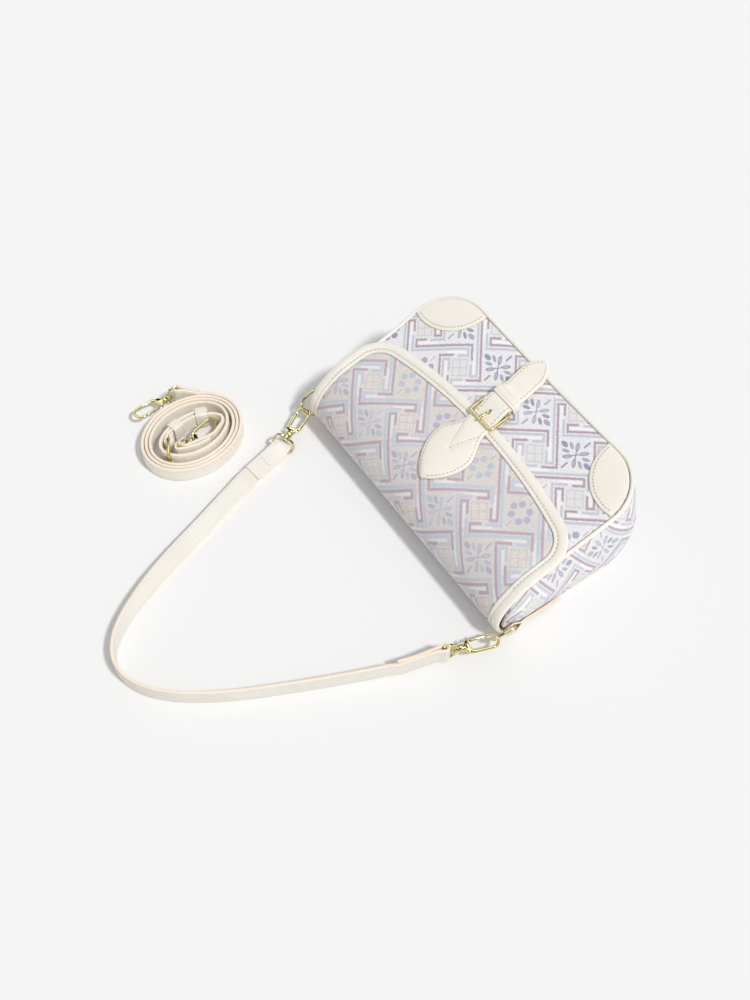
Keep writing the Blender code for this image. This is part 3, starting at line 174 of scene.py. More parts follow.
# Long strap, rolled up
ROLL_CENTRE = (151.5, 152.5)
ROLL_TILT = math.radians(12.0)
ROLL_LONG = 41.8
ROLL_SHORT = 34.4
ROLL_START = -55.0
ROLL_PITCH = 2.9
ROLL_LOOSE_FROM = 2.6
ROLL_LOOSENING = 3.4
ROLL_END_RUN = 50.0
ROLL_SQUASH = 3.0
ROLL_SQUASH_FROM = 3.4
INNER_ROUTE = (
    (3.2, -22.0), (-1.7, -25.8), (-6.7, -24.3), (-9.9, -19.5), (-13.6, -12.5), (-15.2, -5.0),
    (-15.3, 2.0), (-14.3, 9.0), (-10.2, 15.3),
)
LONG_WIDTH = 12.5
LONG_THICKNESS = 2.2
LONG_TAIL = 24.0
LONG_FOLD = 17.0
SHORT_FOLDS = (8.0, -24.0)
LOOP_WALL = 1.0
LOOP_WIDTH = 9.0
LOOP_TURNS = (3.81, 3.965)
TIP_TURN = 4.01
SHORT_START_TURN = 3.74
SLIDER_TURN = 3.58
SLIDER_WIRE = 1.1
SLIDER_LENGTH = 16.0
SLIDER_TURN_OUT = math.radians(43.0)
SLIDER_INSET = 4.4
PIN_RADIUS = 0.7
PIN_SLOT = 2.4
INNER_HOOK_ROLL = math.radians(40.0)
END_HEIGHT = EYE_HALF_WIDTH + EYE_WIRE + 0.1
LAYERS_APART = (LONG_THICKNESS + GAP) * 1.5

# Woven pattern: two lattice steps, in millimetres of cloth, and where one mauve block lies
STEP_ACROSS = (45.5, 1.5)
STEP_UP = (5.4, 41.9)
BLOCK_ON_FLAP = (169.3, 103.2)
BLOCK_ON_FRONT = (152.4, 4.4)
BLOCK_ON_GUSSET = (20.0, 12.0)
CLOTH_START_X = 117.9  # the pattern is counted across from here, at the flap's edge
STITCH_PITCH = 3.0
STITCH_SHARE = 0.68  # how much of the pitch is thread
STITCH_RADIUS = 0.24
STITCH_LIFT = 0.06

# Studio: bright and dark panels by height, as (height, tone), and the sun
ROOM_LIGHT = 0.53
STUDIO_PANELS = (
    (0.04, 0.05), (0.14, 1.4), (0.26, 1.8), (0.36, 0.12),
    (0.48, 0.02), (0.86, 0.02), (0.93, 2.6),
)
SUN_LIGHT = 1.87
SUN_FROM = (-0.69, -0.21, 1.0)
FLOOR_HALF = 6.0  # metres
FLOOR_Z = -0.0004

COS = math.cos(FRONT_LEAN)
SIN = math.sin(FRONT_LEAN)
BOTTOM_Y = -HEIGHT / 2
TOP_Y = HEIGHT / 2
ALONG = Vector((1, 0, 0))
ACROSS = Vector((0, 1, 0))
UP = Vector((0, 0, 1))
FRONT_FACING = Vector((0, SIN, COS))
SIDES = (("right", 1), ("left", -1))


def srgb(code):
    """A colour written as on a screen, in the linear values that shaders take."""
    values = [int(code[i : i + 2], 16) / 255 for i in (1, 3, 5)]
    return tuple(v / 12.92 if v <= 0.04045 else ((v + 0.055) / 1.055) ** 2.4 for v in values)


# ---- Places and outlines


def ease(share):
    share = min(1.0, max(0.0, share))
    return share * share * (3 - 2 * share)


def spread(start, end, steps):
    """Even numbers from start to end, both included."""
    return [start + (end - start) * i / steps for i in range(steps + 1)]


def lengths(path):
    """How far along a path each of its points lies."""
    found = [0.0]
    for before, after in zip(path, path[1:]):
        found.append(found[-1] + math.dist(before, after))
    return found


def neighbours(path, i):
    """The points before and after one of a path, or that point itself at an end."""
    return path[max(i - 1, 0)], path[min(i + 1, len(path) - 1)]


def directions(path):
    """Which way a path goes at each of its points."""
    pairs = [neighbours(path, i) for i in range(len(path))]
    return [(after - before).normalized() for before, after in pairs]


def mirrored(half):
    """The other half of an outline, in the order that goes on from the first."""
    return [(-x, y) for x, y in reversed(half)]


def arc(centre, radius, start, end, steps):
    angles = [math.radians(a) for a in spread(start, end, steps)]
    return [(centre[0] + radius * math.cos(a), centre[1] + radius * math.sin(a)) for a in angles]


def rounded(low, high, steps, upper, lower=None):
    """A rectangle with round corners, as (x, y, outward angle) from the upper right corner on."""
    radii = (upper, upper, lower or upper, lower or upper)
    found = []
    for k, (x, y, way_x, way_y) in enumerate(((1, 1, -1, -1), (0, 1, 1, -1), (0, 0, 1, 1), (1, 0, -1, 1))):
        radius = radii[k]
        centre = (low, high)[x][0] + way_x * radius, (low, high)[y][1] + way_y * radius
        points = arc(centre, radius, 90 * k, 90 * k + 90, steps)
        angles = spread(math.pi / 2 * k, math.pi / 2 * (k + 1), steps)
        found += [(*point, angle) for point, angle in zip(points, angles)]
    return found


def bezier(points, steps):
    a, b, c, d = (Vector(point) for point in points)
    found = []
    for t in spread(0, 1, steps):
        u = 1 - t
        found.append(a * u**3 + b * 3 * u * u * t + c * 3 * u * t * t + d * t**3)
    return found


def curved(a, b, c, d, parts):
    """The start of each part of a smooth curve from b to c, which comes from a and goes on to d."""
    slope, bend, twist = c - a, a * 2 - b * 5 + c * 4 - d, b * 3 - a - c * 3 + d
    return [b + (slope * t + bend * t * t + twist * t**3) / 2 for t in spread(0, 1, parts)[:-1]]


def spline_points(points, step):
    """Points of a smooth curve through the given ones, about a step apart."""
    knots = [points[0] * 2 - points[1], *points, points[-1] * 2 - points[-2]]
    found = []
    for a, b, c, d in zip(knots, knots[1:], knots[2:], knots[3:]):
        found += curved(a, b, c, d, max(1, round((c - b).length / step)))
    return [*found, points[-1].copy()]


def dense(outline, step):
    """A closed outline with more points, none further apart than a step."""
    found = []
    for here, following in zip(outline, outline[1:] + outline[:1]):
        parts = max(1, math.ceil(math.dist(here, following) / step))
        xs, ys = (spread(a, b, parts)[:-1] for a, b in zip(here, following))
        found += list(zip(xs, ys))
    return found


def front_point(x, v, w):
    """A place on the leaning front: v runs up it from the bottom edge, and w stands off it.
    The soft lower corner on one side stands up a little, as the bag lies."""
    rise = CORNER_RISE * (ease((x + 20) / 110) * (1 - ease(v / 78)))
    return Vector((x, BOTTOM_Y + v * COS + w * SIN, BASE_DEPTH - v * SIN + w * COS)) + rise


def up_front(y):
    return (y - BOTTOM_Y) / COS


def u_path(inset, top_y, corner_steps=20, side_steps=18, base_steps=40):
    """The bag's outline seen from the front, from one top corner round the base to the other."""
    x = WIDTH / 2 - inset
    low = BOTTOM_Y + inset
    radius = CORNER_RADIUS - inset
    side = [(x, y) for y in spread(top_y, low + radius, side_steps)[:-1]]
    right = side + arc((x - radius, low + radius), radius, 0, -90, corner_steps)
    base = [((x - radius) * (1 - 2 * i / base_steps), low) for i in range(1, base_steps)]
    return right + base + mirrored(right)


def u_normals(path):
    found = []
    for i, point in enumerate(path):
        before, after = neighbours(path, i)
        normal = Vector((before[1] - after[1], after[0] - before[0], 0)).normalized()
        found.append(normal if normal.xy.dot(point) > 0 else -normal)
    return found


def fold_line():
    """The flap's outer face seen from the side: from the front, round the fold, to the flat back."""
    start = front_point(0, FOLD_V, FLAP_OUT).yz
    top = Vector((TOP_Y, FOLD_MIDDLE_Z))
    end = Vector((BACK_FLAT_Y, 0))
    front_pull, upper_pull, lower_pull, back_pull = FOLD_PULLS
    leave = start + Vector((COS, -SIN)) * front_pull
    front = bezier((start, leave, top + Vector((0, upper_pull)), top), FOLD_STEPS)
    back = bezier((top, top - Vector((0, lower_pull)), end + Vector((back_pull, 0)), end), FOLD_STEPS)
    return front + back[1:]


FOLD = fold_line()
FOLD_WAYS = [Vector((COS, -SIN)), *directions(FOLD)[1:]]
FOLD_S = [FOLD_V + run for run in lengths(FOLD)]
FOLD_END_S = FOLD_S[-1]
FRONT_HINGE_S = FOLD_S[FOLD_STEPS // 2]
TOP_HINGE_S = FOLD_S[FOLD_STEPS + FOLD_STEPS // 2]
SEAM_S = (FRONT_HINGE_S + TOP_HINGE_S) / 2


def on_flap(x, s, w):
    """A place on the flap: s runs up the front, round the fold and down the back; w stands off the front."""
    if s <= FOLD_V:
        return front_point(x, s, w)
    rise = w - FLAP_OUT
    if s >= FOLD_END_S:
        return Vector((x, BACK_FLAT_Y - (s - FOLD_END_S), -rise))
    i = max(k for k in range(len(FOLD) - 1) if FOLD_S[k] <= s)
    share = (s - FOLD_S[i]) / (FOLD_S[i + 1] - FOLD_S[i])
    tangent = FOLD_WAYS[i].lerp(FOLD_WAYS[i + 1], share).normalized()
    place = FOLD[i].lerp(FOLD[i + 1], share) + Vector((-tangent.y, tangent.x)) * rise
    return Vector((x, place.x, place.y))


def flap_outline(trim, tip_steps=40, corner_steps=26):
    """The flap's edge, trimmed by a width, from the fold on one side round the tip to the other."""
    half = FLAP_HALF_WIDTH - trim
    radius = FLAP_CORNER_RADIUS - trim
    full_chord = FLAP_HALF_WIDTH - FLAP_CORNER_RADIUS
    tip_radius = (full_chord**2 + FLAP_TIP_SAG**2) / (2 * FLAP_TIP_SAG) - trim
    tip = FLAP_TIP_V + trim
    angle = math.asin((half - radius) / tip_radius)
    turn = math.degrees(angle)
    corner_v = tip + tip_radius - (tip_radius - radius) * math.cos(angle)
    corner_x = (tip_radius - radius) * math.sin(angle)
    widen = half - (corner_x + radius)
    tip_arc = arc((0, tip + tip_radius), tip_radius, -90, -90 + turn, tip_steps)
    corner = arc((corner_x, corner_v), radius, -90 + turn, 0, corner_steps)
    side = [(px + widen * min(1.0, px / corner_x), pv) for px, pv in tip_arc[1:-1] + corner]
    right = [(half, v) for v in spread(FOLD_V, side[-1][1], 8)[:-1]] + side[::-1]
    return right + [(0, tip)] + mirrored(right)


def belt_point(x, s, w):
    """A place on the closure belt, which leans a little across the flap."""
    return on_flap(x + BELT_LEAN * (LEAF_S - s), s, w)


HINGE_BAR_W = CHAPE_W + CHAPE_THICKNESS + GAP + FRAME_WIRE
NOSE_BAR_W = BELT_ON_FLAP + BELT_THICKNESS + GAP + FRAME_WIRE
BELT_ON_BAR = HINGE_BAR_W + FRAME_WIRE + GAP + CHAPE_THICKNESS + GAP
BELT_ON_CHAPE = CHAPE_W + 2 * CHAPE_THICKNESS + 2 * GAP
BELT_LOW = CHAPE_W + CHAPE_THICKNESS + GAP
LEAF_END_S = LEAF_S + LEAF_LENGTH

# The height of the belt's underside: on the front, through the keeper, over the bar, on the flap
BELT_RISE = (
    (BELT_END_S, BELT_LOW),
    (KEEPER_LOW_S - 5, BELT_LOW),
    (KEEPER_LOW_S, BELT_ON_CHAPE),
    (KEEPER_HIGH_S + GAP, BELT_ON_CHAPE),
    (FRAME_HINGE_S - 1, BELT_ON_BAR),
    (FRAME_HINGE_S + 1.5, BELT_ON_BAR),
    (FRAME_NOSE_S - 2, BELT_ON_FLAP),
    (LEAF_END_S, BELT_ON_FLAP),
)


def belt_low(s):
    return float(np.interp(s, *zip(*BELT_RISE)))


def belt_half_width(s):
    if s >= LEAF_S:
        return LEAF_HALF_WIDTH * max(0.04, 1 - ((s - LEAF_S) / LEAF_LENGTH) ** 1.9) ** 0.75
    if s >= LEAF_NECK_S:
        share = (LEAF_S - s) / (LEAF_S - LEAF_NECK_S)
        return BELT_HALF_WIDTH + (LEAF_HALF_WIDTH - BELT_HALF_WIDTH) * (1 + math.cos(math.pi * share)) / 2
    if s >= BELT_POINT_S:
        return BELT_HALF_WIDTH
    share = (BELT_POINT_S - s) / (BELT_POINT_S - BELT_END_S)
    return BELT_HALF_WIDTH * max(0.02, 1 - share**1.7) ** 0.72


def side_axes(side):
    out = Vector((side * math.cos(TAB_TILT), 0, -math.sin(TAB_TILT)))
    along = Vector((side * math.sin(TAB_TILT), 0, math.cos(TAB_TILT)))
    return out, along, Vector((side * TAB_MIDDLE.x, 0, TAB_MIDDLE.z))


def ring_bow(angle):
    rise = RING_CORNER + (RING_DEPTH - RING_CORNER) * math.sin(angle)
    return RING_HALF_WIDTH * math.cos(angle), RING_BAR_Y + rise


def link_point(side):
    """Where a handle hook pulls on its ring."""
    _, along, middle = side_axes(side)
    reach, y = ring_bow(math.acos(RING_LINK_T / RING_HALF_WIDTH))
    return middle + Vector((0, y, 0)) + along * reach


# ---- Materials


class Value:
    """A shader socket that takes part in sums, so that a pattern reads as a formula."""

    def __init__(self, tree, socket):
        self.tree = tree
        self.socket = socket

    def _math(self, operation, *others, clamp=False):
        node = self.tree.nodes.new("ShaderNodeMath")
        node.operation = operation
        node.use_clamp = clamp
        self.tree.links.new(self.socket, node.inputs[0])
        for place, other in enumerate(others, 1):
            if isinstance(other, Value):
                self.tree.links.new(other.socket, node.inputs[place])
            else:
                node.inputs[place].default_value = other
        return Value(self.tree, node.outputs[0])

    __add__ = partialmethod(_math, "ADD")
    __sub__ = partialmethod(_math, "SUBTRACT")
    __mul__ = partialmethod(_math, "MULTIPLY")
    __abs__ = partialmethod(_math, "ABSOLUTE")
    floor = partialmethod(_math, "FLOOR")
    fract = partialmethod(_math, "FRACT")
    sign = partialmethod(_math, "SIGN")
    sine = partialmethod(_math, "SINE")
    low = partialmethod(_math, "MINIMUM")
    high = partialmethod(_math, "MAXIMUM")
    above = partialmethod(_math, "GREATER_THAN")

    def __neg__(self):
        return self * -1.0

    def odd(self):
        """1 for an odd whole number and 0 for an even one."""
        return ((self * 0.5).fract() * 2.0).above(0.5)

    def wave(self):
        """A sine between 0 and 1."""
        return self.sine() * 0.5 + 0.5

    def under(self, edge, soft):
        """1 below an edge and 0 above it, with a soft step."""
        return self._math("MULTIPLY_ADD", -1.0 / soft, edge / soft + 0.5, clamp=True)

    def pick(self, first, second):
        """first where this is 0, second where it is 1."""
        return first + (second - first) * self


class Nodes:
    """A node tree under construction."""

    def __init__(self, tree):
        self.tree = tree
        self.link = tree.links.new

    def node(self, kind, **settings):
        node = self.tree.nodes.new("ShaderNode" + kind)
        for key, value in settings.items():
            if key in node.inputs:
                node.inputs[key].default_value = value
            else:
                setattr(node, key, value)
        return node

    def split(self, vector):
        node = self.node("SeparateXYZ")
        self.link(vector, node.inputs["Vector"])
        return [Value(self.tree, socket) for socket in node.outputs]

    def mix(self, factor, first, second):
        """A colour between two, each of them a tuple or a socket."""
        node = self.node("Mix", data_type="RGBA")
        colours = [s for s in node.inputs if s.type == "RGBA"]
        self.link(factor.socket, node.inputs[0])
        for socket, colour in zip(colours, (first, second)):
            if isinstance(colour, tuple):
                socket.default_value = (*colour, 1.0)
            else:
                self.link(colour, socket)
        return [s for s in node.outputs if s.type == "RGBA"][0]


class Finish(Nodes):
    """A material under construction: its shader, its textures and its colours."""

    def __init__(self, name):
        self.material = bpy.data.materials.new(name)
        self.material.use_nodes = True
        super().__init__(self.material.node_tree)
        self.shader = self.tree.nodes["Principled BSDF"]

    def place(self, scale=(1.0, 1.0, 1.0)):
        """Places on the piece itself, in metres, stretched by a scale."""
        mapping = self.node("Mapping", Scale=scale)
        self.link(self.node("TexCoord").outputs["Object"], mapping.inputs["Vector"])
        return mapping.outputs["Vector"]

    def noise(self, scale, detail=2.0, vector=None, roughness=0.5):
        node = self.node("TexNoise", Scale=scale, Detail=detail, Roughness=roughness)
        self.link(vector or self.place(), node.inputs["Vector"])
        return Value(self.tree, node.outputs["Fac"])

    def cells(self, scale):
        node = self.node("TexVoronoi", Scale=scale)
        self.link(self.place(), node.inputs["Vector"])
        return Value(self.tree, node.outputs["Distance"])

    def cloth_place(self):
        """How far across and up its own cloth a point lies, in millimetres."""
        uv = self.node("UVMap", uv_map="cloth").outputs["UV"]
        across, up, _ = self.split(uv)
        return across, up, uv

    def surface(self, colour, roughness, height=None, distance=0.1, strength=0.5, **settings):
        """Joins colour, roughness and a height in millimetres to the shader."""
        sockets = self.shader.inputs
        for key, value in settings.items():
            sockets[key.replace("_", " ")].default_value = value
        self.link(colour, sockets["Base Color"])
        if isinstance(roughness, Value):
            self.link(roughness.socket, sockets["Roughness"])
        else:
            sockets["Roughness"].default_value = roughness
        if height is not None:
            bump = self.node("Bump", Strength=strength, Distance=distance * MM)
            self.link(height.socket, bump.inputs["Height"])
            self.link(bump.outputs["Normal"], sockets["Normal"])
        return self.material


def fret(p, q, strokes):
    """How far a point of a block lies from the nearest of some straight strokes."""
    least = None
    for level, low, high, upright in strokes:
        run, off = (q, p) if upright else (p, q)
        away = abs(off - level).high(abs(run - (low + high) / 2) - (high - low) / 2)
        least = away if least is None else least.low(away)
    return least


def leaf_shape(u, v, centre, half_length, half_width, turn=0):
    """Below 1 inside a leaf, which is an ellipse turned by an angle."""
    c, s = math.cos(math.radians(turn)), math.sin(math.radians(turn))
    du, dv = u - centre[0], v - centre[1]
    along = (du * c + dv * s) * (1 / half_length)
    across = (dv * c - du * s) * (1 / half_width)
    return along * along + across * across


# Strokes of the fret in one eighth of a block, in block widths: level, start, end, whether it is upright
OWN_STROKES = (
    (0.29, -0.21, 0.04, False),
    (-0.21, 0.29, 0.455, True),
    (0.455, -0.21, 0.455, False),
    (-0.455, 0.455, 0.545, True),
)
OTHER_STROKES = ((0.545, -0.31, 0.455, False), (-0.31, 0.31, 0.545, True), (0.31, 0.20, 0.31, False))
SATIN_STROKES = ((0.372, -0.15, 0.40, False),)
SATIN_LINES = ((0.50, -0.40, 0.40, False),)


def brocade(name, block, depth):
    """Silver brocade: a running fret in mauve and pale blue, with sprigs and rings between its blocks.
    depth, from 0 to 1, is painted sheen: the same cloth as lit on each piece, with a paler, warmer ground at
    0 and a whiter ground, deeper threads, stronger satin and slightly thinner lines at 1."""
    made = Finish(name)
    across, up, uv = made.cloth_place()

    def tint(pale, deep):
        """A colour between two written ones, by the depth."""
        return tuple(a + (b - a) * depth for a, b in zip(srgb(pale), srgb(deep)))

    jitter = made.noise(1.6, 2.0, uv) - 0.5
    x = across - block[0] + jitter * 0.5
    y = up - block[1] + jitter * 0.5
    area = STEP_ACROSS[0] * STEP_UP[1] - STEP_ACROSS[1] * STEP_UP[0]
    alpha = x * (STEP_UP[1] / area) - y * (STEP_UP[0] / area)
    beta = y * (STEP_ACROSS[0] / area) - x * (STEP_ACROSS[1] / area)

    # The fret, folded into one eighth of a block
    i, j = (alpha + 0.5).floor(), (beta + 0.5).floor()
    blue_block = (i + j).odd()
    a, b = alpha - i, beta - j
    p0, q0 = a + b, b - a
    upright = abs(q0).above(abs(p0))
    p = upright.pick(-(q0 * p0.sign()), p0 * q0.sign())
    q = abs(p0).high(abs(q0))
    rag = (made.noise(0.9, 2.0, uv) - 0.5) * 0.06
    own = fret(p, q, OWN_STROKES)
    other = fret(p, q, OTHER_STROKES)
    mauve = (blue_block.pick(own, other) + rag).under(0.035 - 0.006 * depth, 0.019)
    blue = (blue_block.pick(other, own) + rag).under(0.039 - 0.007 * depth, 0.019)
    satin = (fret(p, q, SATIN_STROKES) + rag).under(0.034, 0.020)
    satin = satin.high(fret(p, q, SATIN_LINES).under(0.010, 0.012))
    weave = (q + rag).under(0.25, 0.04)
    checks = abs(p0).low(abs(q0)).low(abs(q - 0.19)).under(0.012, 0.012) * (q + rag).under(0.21, 0.02)

    # The sprigs and rings between the blocks, in millimetres from their middle
    m, n = alpha.floor(), beta.floor()
    da, db = alpha - m - 0.5, beta - n - 0.5
    u = da * STEP_ACROSS[0] + db * (STEP_UP[0] / 2)
    v = db * STEP_UP[1] + da * STEP_ACROSS[1]
    au, av = abs(u), abs(v)
    rings = n.odd()
    sprigs = rings * -1.0 + 1.0
    second = m.odd()
    petal = leaf_shape(au, av, (3.6, 4.9), 3.5, 1.5, 51)
    outer = leaf_shape(au, v, (12.0, 0.0), 3.1, 1.8).under(1.0, 0.35)
    cross = abs(au - av * 0.8).high((au + av) - 3.4).under(0.55, 0.4)
    dash = au.high(abs(av - 10.7) - 2.2)
    sprig = petal.under(1.0, 0.35).high(outer).high(cross).high(dash.under(0.7, 0.4)) * sprigs
    core = petal.under(0.34, 0.25) * sprig
    side_leaf = leaf_shape(au, av, (7.6, 2.8), 3.0, 1.25, 25).under(1.0, 0.35) * sprigs
    dots = leaf_shape(au, v, (7.1, 0.0), 2.5, 2.5).low(leaf_shape(au, av, (3.9, 5.1), 2.5, 2.5))
    dots = dots.under(1.0, 0.3) * rings
    stem = (dash - 0.9).under(-0.5, 0.4) * rings
    veins = ((u + v * 1.3) * 3.9).sine().under(-0.15, 0.9) * 0.6

    # Thread: a fine twill over all, and short bars that change direction inside the blocks
    twill = ((across + up * 0.6) * 9.0).wave()
    grid = (x * 0.19).floor() + (y * 0.19).floor()
    bars = grid.odd().pick((x * 4.6).sine(), (y * 4.6).sine()) * 0.5 + 0.5
    fleck = made.noise(1.1, 2.0, uv, 0.7)
    shade = (fleck * 0.55 + twill * 0.45).under(0.62, 0.5)

    ground = made.mix(shade, tint("#ebe7e6", "#fcfbfd"), tint("#d9d4d2", "#e9e7ea"))
    gold = made.mix(bars, tint("#ebe7e3", "#f3f2f1"), tint("#dcd7d3", "#d9d8d8"))
    purple = made.mix(veins, tint("#b2aec8", "#8380a4"), tint("#cdcadc", "#b7b5cb"))
    pale = made.mix(veins, tint("#b8c0d0", "#939db4"), tint("#d3d8e2", "#c2c9d6"))
    motif = made.mix(second, purple, pale)
    blue_thread = made.mix(shade * 0.7, tint("#d0d7e2", "#d4d8e2"), tint("#bec7d5", "#b5bdcd"))
    mauve_thread = made.mix(shade * 0.7, tint("#cab6c2", "#c4adba"), tint("#b59fae", "#a1899b"))
    layers = (
        # Painted sheen: broad random patches where the ground turns warmer and a little darker, as the
        # satin's lustre shifts.
        (made.noise(0.02, 3.0, uv).under(0.5, 0.3) * 0.5, tint("#e6ddd3", "#f3f0ee")),
        (weave * 0.7, gold),
        (made.noise(0.6, 1.0, uv).under(0.44, 0.12) * 0.4, tint("#c9c4c2", "#d5d3d8")),
        (checks * 0.5, tint("#c9b6b8", "#bdb6bb")),
        (satin * (0.45 + 0.35 * depth), srgb("#f8f7f9")),
        (stem * 0.8, srgb("#b4b3ba")),
        (sprig * 0.9, motif),
        (core * 0.45, srgb("#dcdbe6")),
        (side_leaf * 0.9, made.mix(second, pale, purple)),
        (dots * 0.9, motif),
        (blue * 0.9, blue_thread),
        (mauve * 0.95, mauve_thread),
    )
    for amount, colour in layers:
        ground = made.mix(amount, ground, colour)

    raised = mauve.high(blue).high(sprig).high(side_leaf).high(dots)
    height = raised * 0.6 + twill * 0.18 + bars * weave * 0.3 + fleck * 0.2
    gloss = made.noise(0.8, 2.0, uv)
    flat = satin.pick(gloss * 0.25 + 0.42, gloss * 0.2 + 0.28)
    roughness = raised.pick(flat, made.noise(2.0, 1.0, uv) * 0.2 + 0.42)
    return made.surface(ground, roughness, height, 0.12, 0.6, Sheen_Weight=0.12, Sheen_Roughness=0.4)


def leather(name, light, dark):
    """Fine pebbled leather, a little mottled, with shallow creases."""
    made = Finish(name)
    mottle = made.noise(28.0, 4.0)
    pebble = made.cells(1500.0)
    crease = made.noise(220.0, 5.0, made.place((1.0, 1.6, 1.0)), 0.65)
    colour = made.mix(mottle.under(0.55, 0.4), srgb(light), srgb(dark))
    colour = made.mix(pebble.under(0.12, 0.25) * 0.18, colour, srgb("#fffaf0"))
    height = pebble * 0.7 + crease * 0.8
    roughness = crease * 0.25 + 0.34
    return made.surface(colour, roughness, height, 0.10, 0.45, Coat_Weight=0.08, Coat_Roughness=0.35)


def edge_paint(name, light, dark):
    """The painted edge of a strap: smooth, warm, a little uneven."""
    made = Finish(name)
    uneven = made.noise(160.0, 3.0)
    colour = made.mix(uneven.under(0.5, 0.5), srgb(light), srgb(dark))
    return made.surface(colour, uneven * 0.2 + 0.32, uneven, 0.12, 0.4)


def thread(name, light, dark):
    made = Finish(name)
    twist = (made.noise(4000.0, 1.0) * 6.0).wave()
    colour = made.mix(twist, srgb(light), srgb(dark))
    return made.surface(colour, 0.6, twist, 0.06, 0.5, Sheen_Weight=0.1)


def champagne():
    """Pale plated metal, with faint handling marks."""
    made = Finish("champagne metal")
    marks = made.noise(900.0, 4.0, made.place((1.0, 6.0, 1.0)), 0.6)
    colour = made.mix(made.noise(120.0, 2.0), srgb("#efe2b0"), srgb("#e2d397"))
    return made.surface(colour, marks * 0.06 + 0.03, marks, 0.02, 0.2, Metallic=1.0)


def satin_lining():
    made = Finish("satin lining")
    across, _, _ = made.cloth_place()
    ribs = (across * 7.0).wave()
    cloud = made.noise(30.0, 3.0)
    colour = made.mix(cloud.under(0.5, 0.5), srgb("#ddd6cb"), srgb("#cbc3b6"))
    height = ribs * 0.3 + made.noise(400.0, 2.0)
    return made.surface(colour, cloud * 0.15 + 0.35, height, 0.1, 0.3, Sheen_Weight=0.2)


# One brocade on every piece, its sheen painted into the palette by depth: paler and warmer on the flap,
# crisper on the front, between on the gusset, where it also stands for the shade in its wrinkles.
FLAP_CLOTH_FINISH = brocade("brocade flap", BLOCK_ON_FLAP, 0.0)
FRONT_CLOTH_FINISH = brocade("brocade front", BLOCK_ON_FRONT, 1.0)
GUSSET_CLOTH_FINISH = brocade("brocade gusset", BLOCK_ON_GUSSET, 0.6)
LEATHER = leather("cream leather", "#faf6ee", "#f4eee2")
# The handle and the rolled strap are the bag's cream leather; these darker copies are painted shade, the
# handle's darkest to tone down its sunlit faces.
SHADED_HANDLE_LEATHER = leather("strap leather", "#ebe8e1", "#e5e1d7")
SHADED_ROLL_LEATHER = leather("rolled strap leather", "#f5f0e6", "#efe9dc")
EDGE = edge_paint("edge paint", "#fbeddd", "#f7e5ce")
TAB_EDGE = edge_paint("tab edge paint", "#f8e6d2", "#f1d9be")
THREAD = thread("grey thread", "#b9b2a6", "#8e877b")
PALE_THREAD = thread("cream thread", "#f0e8d8", "#dcd2be")
METAL = champagne()
LINING = satin_lining()


# ---- Mesh building


def closed_mesh(name, points, faces):
    """A mesh from places in millimetres, with its faces turned outward."""
    mesh = bpy.data.meshes.new(name)
    mesh.from_pydata([tuple(Vector(point) * MM) for point in points], [], faces)
    work = bmesh.new()
    work.from_mesh(mesh)
    bmesh.ops.recalc_face_normals(work, faces=work.faces)
    work.to_mesh(mesh)
    work.free()
    return mesh


def placed(name, data):
    """A new object in the scene."""
    obj = bpy.data.objects.new(name, data)
    bpy.context.scene.collection.objects.link(obj)
    return obj


def piece(name, shape, finishes, body, nodes=(), slot=None, uvs=None, marks=None, angle=40.0):
    """Makes a piece of a shape, which is its points and faces, and says what it rides on and replaces.
    uvs are for the points, and marks say which finish each face has."""
    mesh = closed_mesh(name, *shape)
    for finish in finishes:
        mesh.materials.append(finish)
    if marks is not None:
        mesh.polygons.foreach_set("material_index", marks)
    if uvs is not None:
        layer = mesh.uv_layers.new(name="cloth")
        corners = np.zeros(len(mesh.loops), dtype=np.int32)
        mesh.loops.foreach_get("vertex_index", corners)
        layer.data.foreach_set("uv", np.asarray(uvs, dtype=np.float32)[corners].ravel())
    mesh.shade_smooth()
    mesh.set_sharp_from_angle(angle=math.radians(angle))
    obj = placed(name, mesh)
    if body:
        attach(obj, body)
    if nodes:
        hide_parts(*nodes)
    return obj


def fitting(node, shape, body, angle=40.0):
    """A metal piece, named after the node that it replaces."""
    piece(node + "_metal", shape, [METAL], body, (node,), "metal", angle=angle)


def skin(sections, ring=False):
    """Points and faces of a tube through sections, capped unless it comes round to its start."""
    rows, count = len(sections), len(sections[0])
    points = [point for section in sections for point in section]
    faces = []
    for row in range(rows if ring else rows - 1):
        low, high = row * count, (row + 1) % rows * count
        for i in range(count):
            j = (i + 1) % count
            faces.append((low + i, low + j, high + j, high + i))
    if not ring:
        faces.append(tuple(range(count)))
        faces.append(tuple(len(points) - 1 - i for i in range(count)))
    return points, faces


def run_uvs(sections):
    """Running length along the sections and distance round each, for every point."""
    runs = lengths([section[0] for section in sections])
    return [(run, around) for run, section in zip(runs, sections) for around in lengths(section)]


def merge(parts):
    points, faces = [], []
    for more_points, more_faces in parts:
        shift = len(points)
        points += list(more_points)
        faces += [tuple(i + shift for i in face) for face in more_faces]
    return points, faces


def circle(sides, start=0.0):
    """Points round a circle of radius 1, from a share of one step on."""
    angles = [math.tau * (k + start) / sides for k in range(sides)]
    return [(math.cos(angle), math.sin(angle)) for angle in angles]


def ellipse(centre, across, up, half_across, half_up, sides=20):
    return [centre + across * (half_across * c) + up * (half_up * s) for c, s in circle(sides, 0.5)]


